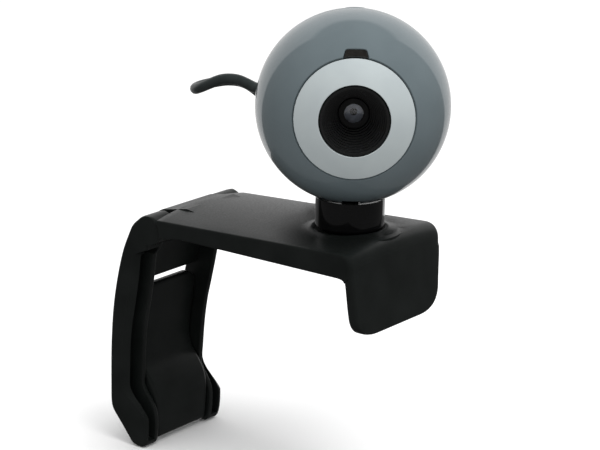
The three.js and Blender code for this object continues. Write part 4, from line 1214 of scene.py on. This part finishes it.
moulded = Finish("moulded_vinyl", 0.5)
moulded.colours(moulded.noise(2, 4), (0.3, tone(30, 31, 32)), (0.7, tone(40, 41, 42)))
moulded.roughen(moulded.noise(0.6, 3), 0.44, 0.58)
moulded.bump(moulded.noise(0.2, 3), 0.015, 0.5)
finishes["plug_plastic"] = moulded.material

# %% [markdown]
# Metals show how they were made: pins and screws are turned, so their marks run round; sheet is rolled, so
# its marks run along. A noise that is stretched many times along one axis gives such lines.
# %% Metals
steel = Finish("turned_steel", 0.25, metallic=1.0)
steel.colours(steel.noise(1.5, 4), (0.3, tone(178, 180, 184)), (0.7, tone(205, 207, 210)))
turning = steel.noise(0.15, 3, 0.6, steel.stretched(1, 0.04, 0.04))
steel.roughen(turning, 0.16, 0.36)
steel.bump(turning, 0.006, 0.4)
finishes["pin_steel"] = steel.material

nickel = Finish("rolled_nickel", 0.22, metallic=1.0)
nickel.colours(nickel.noise(2, 4), (0.3, tone(196, 196, 194)), (0.7, tone(222, 221, 218)))
rolling = nickel.noise(0.2, 3, 0.6, nickel.stretched(1, 1, 0.03))
nickel.roughen(rolling, 0.14, 0.32)
nickel.bump(rolling, 0.005, 0.4)
finishes["plug_metal"] = nickel.material

# %% [markdown]
# Nylon lets light in a little way, which softens it; we give it some subsurface scatter. Acetal is its
# black cousin.
# %% Bearings
nylon = Finish("natural_nylon", 0.45)
nylon.colours(nylon.noise(2, 3), (0.3, tone(226, 223, 212)), (0.7, tone(238, 235, 226)))
nylon.shader.inputs["Subsurface Weight"].default_value = 0.25
nylon.shader.inputs["Subsurface Radius"].default_value = (0.0012, 0.001, 0.0008)
nylon.bump(nylon.noise(0.4, 3), 0.01, 0.4)
finishes["bearing_nylon"] = nylon.material

acetal = Finish("black_acetal", 0.4)
acetal.colours(acetal.noise(1.5, 3), (0.3, tone(15, 16, 16)), (0.7, tone(21, 22, 22)))
acetal.bump(acetal.noise(0.3, 3), 0.01, 0.4)
finishes["bearing_black"] = acetal.material

# %% [markdown]
# Inside the ball are a green board and its parts. They only show when the shells are taken off, but the
# board has its glass weave and copper tracks all the same: a wave for the weave, and cells for
# the tracks.
# %% Board and parts
board = Finish("board_lacquer", 0.28, coat=0.3)
tracks = board.cells(2.4)
tracks.distance = "MANHATTAN"
lacquer = ((0.34, tone(26, 92, 54)), (0.4, tone(44, 128, 74)), (0.46, tone(28, 96, 56)))
board.colours(tracks.outputs["Distance"], *lacquer)
weave = board.nodes.new("ShaderNodeTexWave")
weave.inputs["Scale"].default_value = 260
board.links.new(board.place, weave.inputs["Vector"])
board.bump(weave.outputs["Fac"], 0.01, 0.3)
finishes["board_green"] = board.material

epoxy = Finish("chip_epoxy", 0.5)
epoxy.colours(epoxy.noise(0.5, 4), (0.3, tone(30, 30, 32)), (0.7, tone(42, 42, 44)))
epoxy.bump(epoxy.noise(0.1, 3), 0.01, 0.5)
finishes["chip_black"] = epoxy.material

amber = Finish("amber_epoxy", 0.12)
amber.colours(amber.noise(1.5, 2), (0.3, tone(222, 140, 46)), (0.7, tone(240, 168, 74)))
amber.shader.inputs["Transmission Weight"].default_value = 0.5
amber.bump(amber.noise(0.7, 2), 0.004, 0.3)
finishes["diode_amber"] = amber.material

# %% [markdown]
# Lens glass is almost clear. What one sees in a lens is the iris behind it, so the iris gets a cool grey
# that is a painted reflection of the coated glass, satin enough to catch the lamp. The dark disc is painted
# shade for the depth behind the opening and reflects next to nothing.
# %% Glass and iris
optic = Finish("coated_glass", 0.02)
optic.colours(optic.noise(1.2, 2), (0.3, tone(248, 249, 251)), (0.7, tone(251, 252, 253)))
optic.shader.inputs["Transmission Weight"].default_value = 1.0
optic.shader.inputs["IOR"].default_value = 1.5
finishes["lens_glass"] = optic.material

# The iris's pale cool grey is a painted reflection of the coated glass.
iris_painted_gleam = Finish("iris_painted_reflection", 0.3, metallic=0.6)
iris_painted_gleam.colours(iris_painted_gleam.noise(1.4, 3), (0.3, tone(136, 142, 154)), (0.7, tone(158, 164, 176)))
iris_painted_gleam.bump(iris_painted_gleam.noise(0.2, 3), 0.005, 0.4)

# A near-black matt finish for the disc of painted shade behind the opening.
painted_depth_shade = Finish("painted_depth_shade", 0.9, specular=0)
painted_depth_shade.colours(painted_depth_shade.noise(0.5, 3), (0.3, tone(4, 4, 5)), (0.7, tone(9, 9, 10)))

# %% [markdown]
# Now each piece, and each CAD node that still shows, gets the finish of its slot.
# %% Handing out the finishes
node_slots = {
    "pin_steel": [
        "hinge_pin", "flap_pin", "pan_screw", "shoe_screw", "shell_screw_left", "shell_screw_right",
        "board_screw_left", "board_screw_right", "crystal_can", "microphone",
    ],
    "bearing_nylon": ["pan_washer", "tilt_shoe", "cable_header"],
    "bearing_black": ["hinge_washer_left", "hinge_washer_right"],
    "lens_black": ["lens_holder"],
    "lens_glass": ["ir_filter"],
    "board_green": ["main_board"],
    "chip_black": ["image_sensor", "controller_chip", "capacitor", "button_switch"],
    "diode_amber": ["status_led"],
}


def paint(thing, material):
    thing.data.materials.clear()
    thing.data.materials.append(material)


# The iris gets its painted reflection and the dark disc its painted shade.
inside_lens = {"iris": iris_painted_gleam.material, "pupil_shade_disc": painted_depth_shade.material}
for name, piece in made.items():
    paint(piece, inside_lens.get(name, finishes[piece["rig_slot"]]))
dressed = {node for nodes in node_slots.values() for node in nodes}
for slot_name, nodes in node_slots.items():
    for node in nodes:
        paint(frame["nodes"][node], finishes[slot_name])
print("Pieces:", len(made), "CAD nodes kept:", len(dressed))

# %% [markdown]
# ## Floor and light
# A pale floor that reaches past the view on all sides leaves no horizon. The light is a room with a bright
# wall behind the object and a dimmer one behind the camera: glossy edges then carry a pale rim, while faces
# that look at the camera stay deep in colour. One large soft lamp hangs above.
# %% Floor
floor_mesh = bpy.data.meshes.new("floor")
reach = 6
corners = [(-reach, -reach), (reach, -reach), (reach, reach), (-reach, reach)]
floor_mesh.from_pydata([(x, y, LEG_FOOT * MM - 0.0002) for x, y in corners], [], [(0, 1, 2, 3)])
floor = bpy.data.objects.new("floor", floor_mesh)
bpy.context.scene.collection.objects.link(floor)
paper = Finish("floor_paper", 0.9, specular=0.1)
paper.colours(paper.noise(60, 2), (0.3, tone(243, 243, 243)), (0.7, tone(246, 246, 246)))
paint(floor, paper.material)
floor.visible_glossy = False
floor.visible_diffuse = False

# %% [markdown]
# The world's brightness depends on direction alone. The wall fills a wide cone of directions and stops at a
# height, so the pale rim on top of the ball stays narrow. Matt surfaces need a fuller, even light, so rays
# that leave a matt surface see a bright room that is a little brighter overhead.
# %% World and lamps
world = bpy.data.worlds.new("studio")
bpy.context.scene.world = world
world.use_nodes = True
world_nodes, world_links = world.node_tree.nodes, world.node_tree.links
backdrop = world_nodes["Background"]
direction = world_nodes.new("ShaderNodeTexCoord").outputs["Generated"]
towards_wall = world_nodes.new("ShaderNodeVectorMath")
towards_wall.operation = "DOT_PRODUCT"
towards_wall.inputs[1].default_value = (0.782, 0.566, 0.26)
world_links.new(direction, towards_wall.inputs[0])
height = world_nodes.new("ShaderNodeSeparateXYZ")
world_links.new(direction, height.inputs["Vector"])
WALL_GLOW, ROOM_GLOW = 0.85, 0.09


def glow(value, low, high, at_low, at_high):
    """A brightness that goes from one number to another as the value goes from low to high."""
    node = world_nodes.new("ShaderNodeMapRange")
    for socket, number in (("From Min", low), ("From Max", high), ("To Min", at_low), ("To Max", at_high)):
        node.inputs[socket].default_value = number
    world_links.new(value, node.inputs["Value"])
    return node


wall = glow(towards_wall.outputs["Value"], 0.585, 0.63, ROOM_GLOW, WALL_GLOW)
wall.interpolation_type = "SMOOTHSTEP"
wall_top = glow(height.outputs["Z"], 0.7, 0.78, WALL_GLOW, ROOM_GLOW)
ceiling = glow(height.outputs["Z"], -0.7, 0.8, 0.62, 1.0)
below_top = world_nodes.new("ShaderNodeMath")
below_top.operation = "MINIMUM"
world_links.new(wall.outputs["Result"], below_top.inputs[0])
world_links.new(wall_top.outputs["Result"], below_top.inputs[1])
softly = world_nodes.new("ShaderNodeMix")
light_path = world_nodes.new("ShaderNodeLightPath")
world_links.new(light_path.outputs["Is Diffuse Ray"], softly.inputs["Factor"])
world_links.new(below_top.outputs["Value"], softly.inputs["A"])
world_links.new(ceiling.outputs["Result"], softly.inputs["B"])
world_links.new(softly.outputs["Result"], backdrop.inputs["Strength"])
backdrop.inputs["Color"].default_value = (1, 1, 1, 1)


def lamp(name, power, size, at, towards):
    """A square soft lamp at a place, facing a point."""
    light = bpy.data.lights.new(name, "AREA")
    light.shape = "RECTANGLE"
    light.size, light.size_y = size
    light.energy = power
    thing = bpy.data.objects.new(name, light)
    thing.location = at
    thing.rotation_euler = (Vector(towards) - Vector(at)).to_track_quat("-Z", "Y").to_euler()
    bpy.context.scene.collection.objects.link(thing)
    return thing


overhead = lamp("overhead", 12, (1.0, 1.0), (0.0, -0.45, 1.1), (0, 0, 0))
overhead.visible_glossy = False
bpy.context.scene.view_settings.view_transform = "Standard"
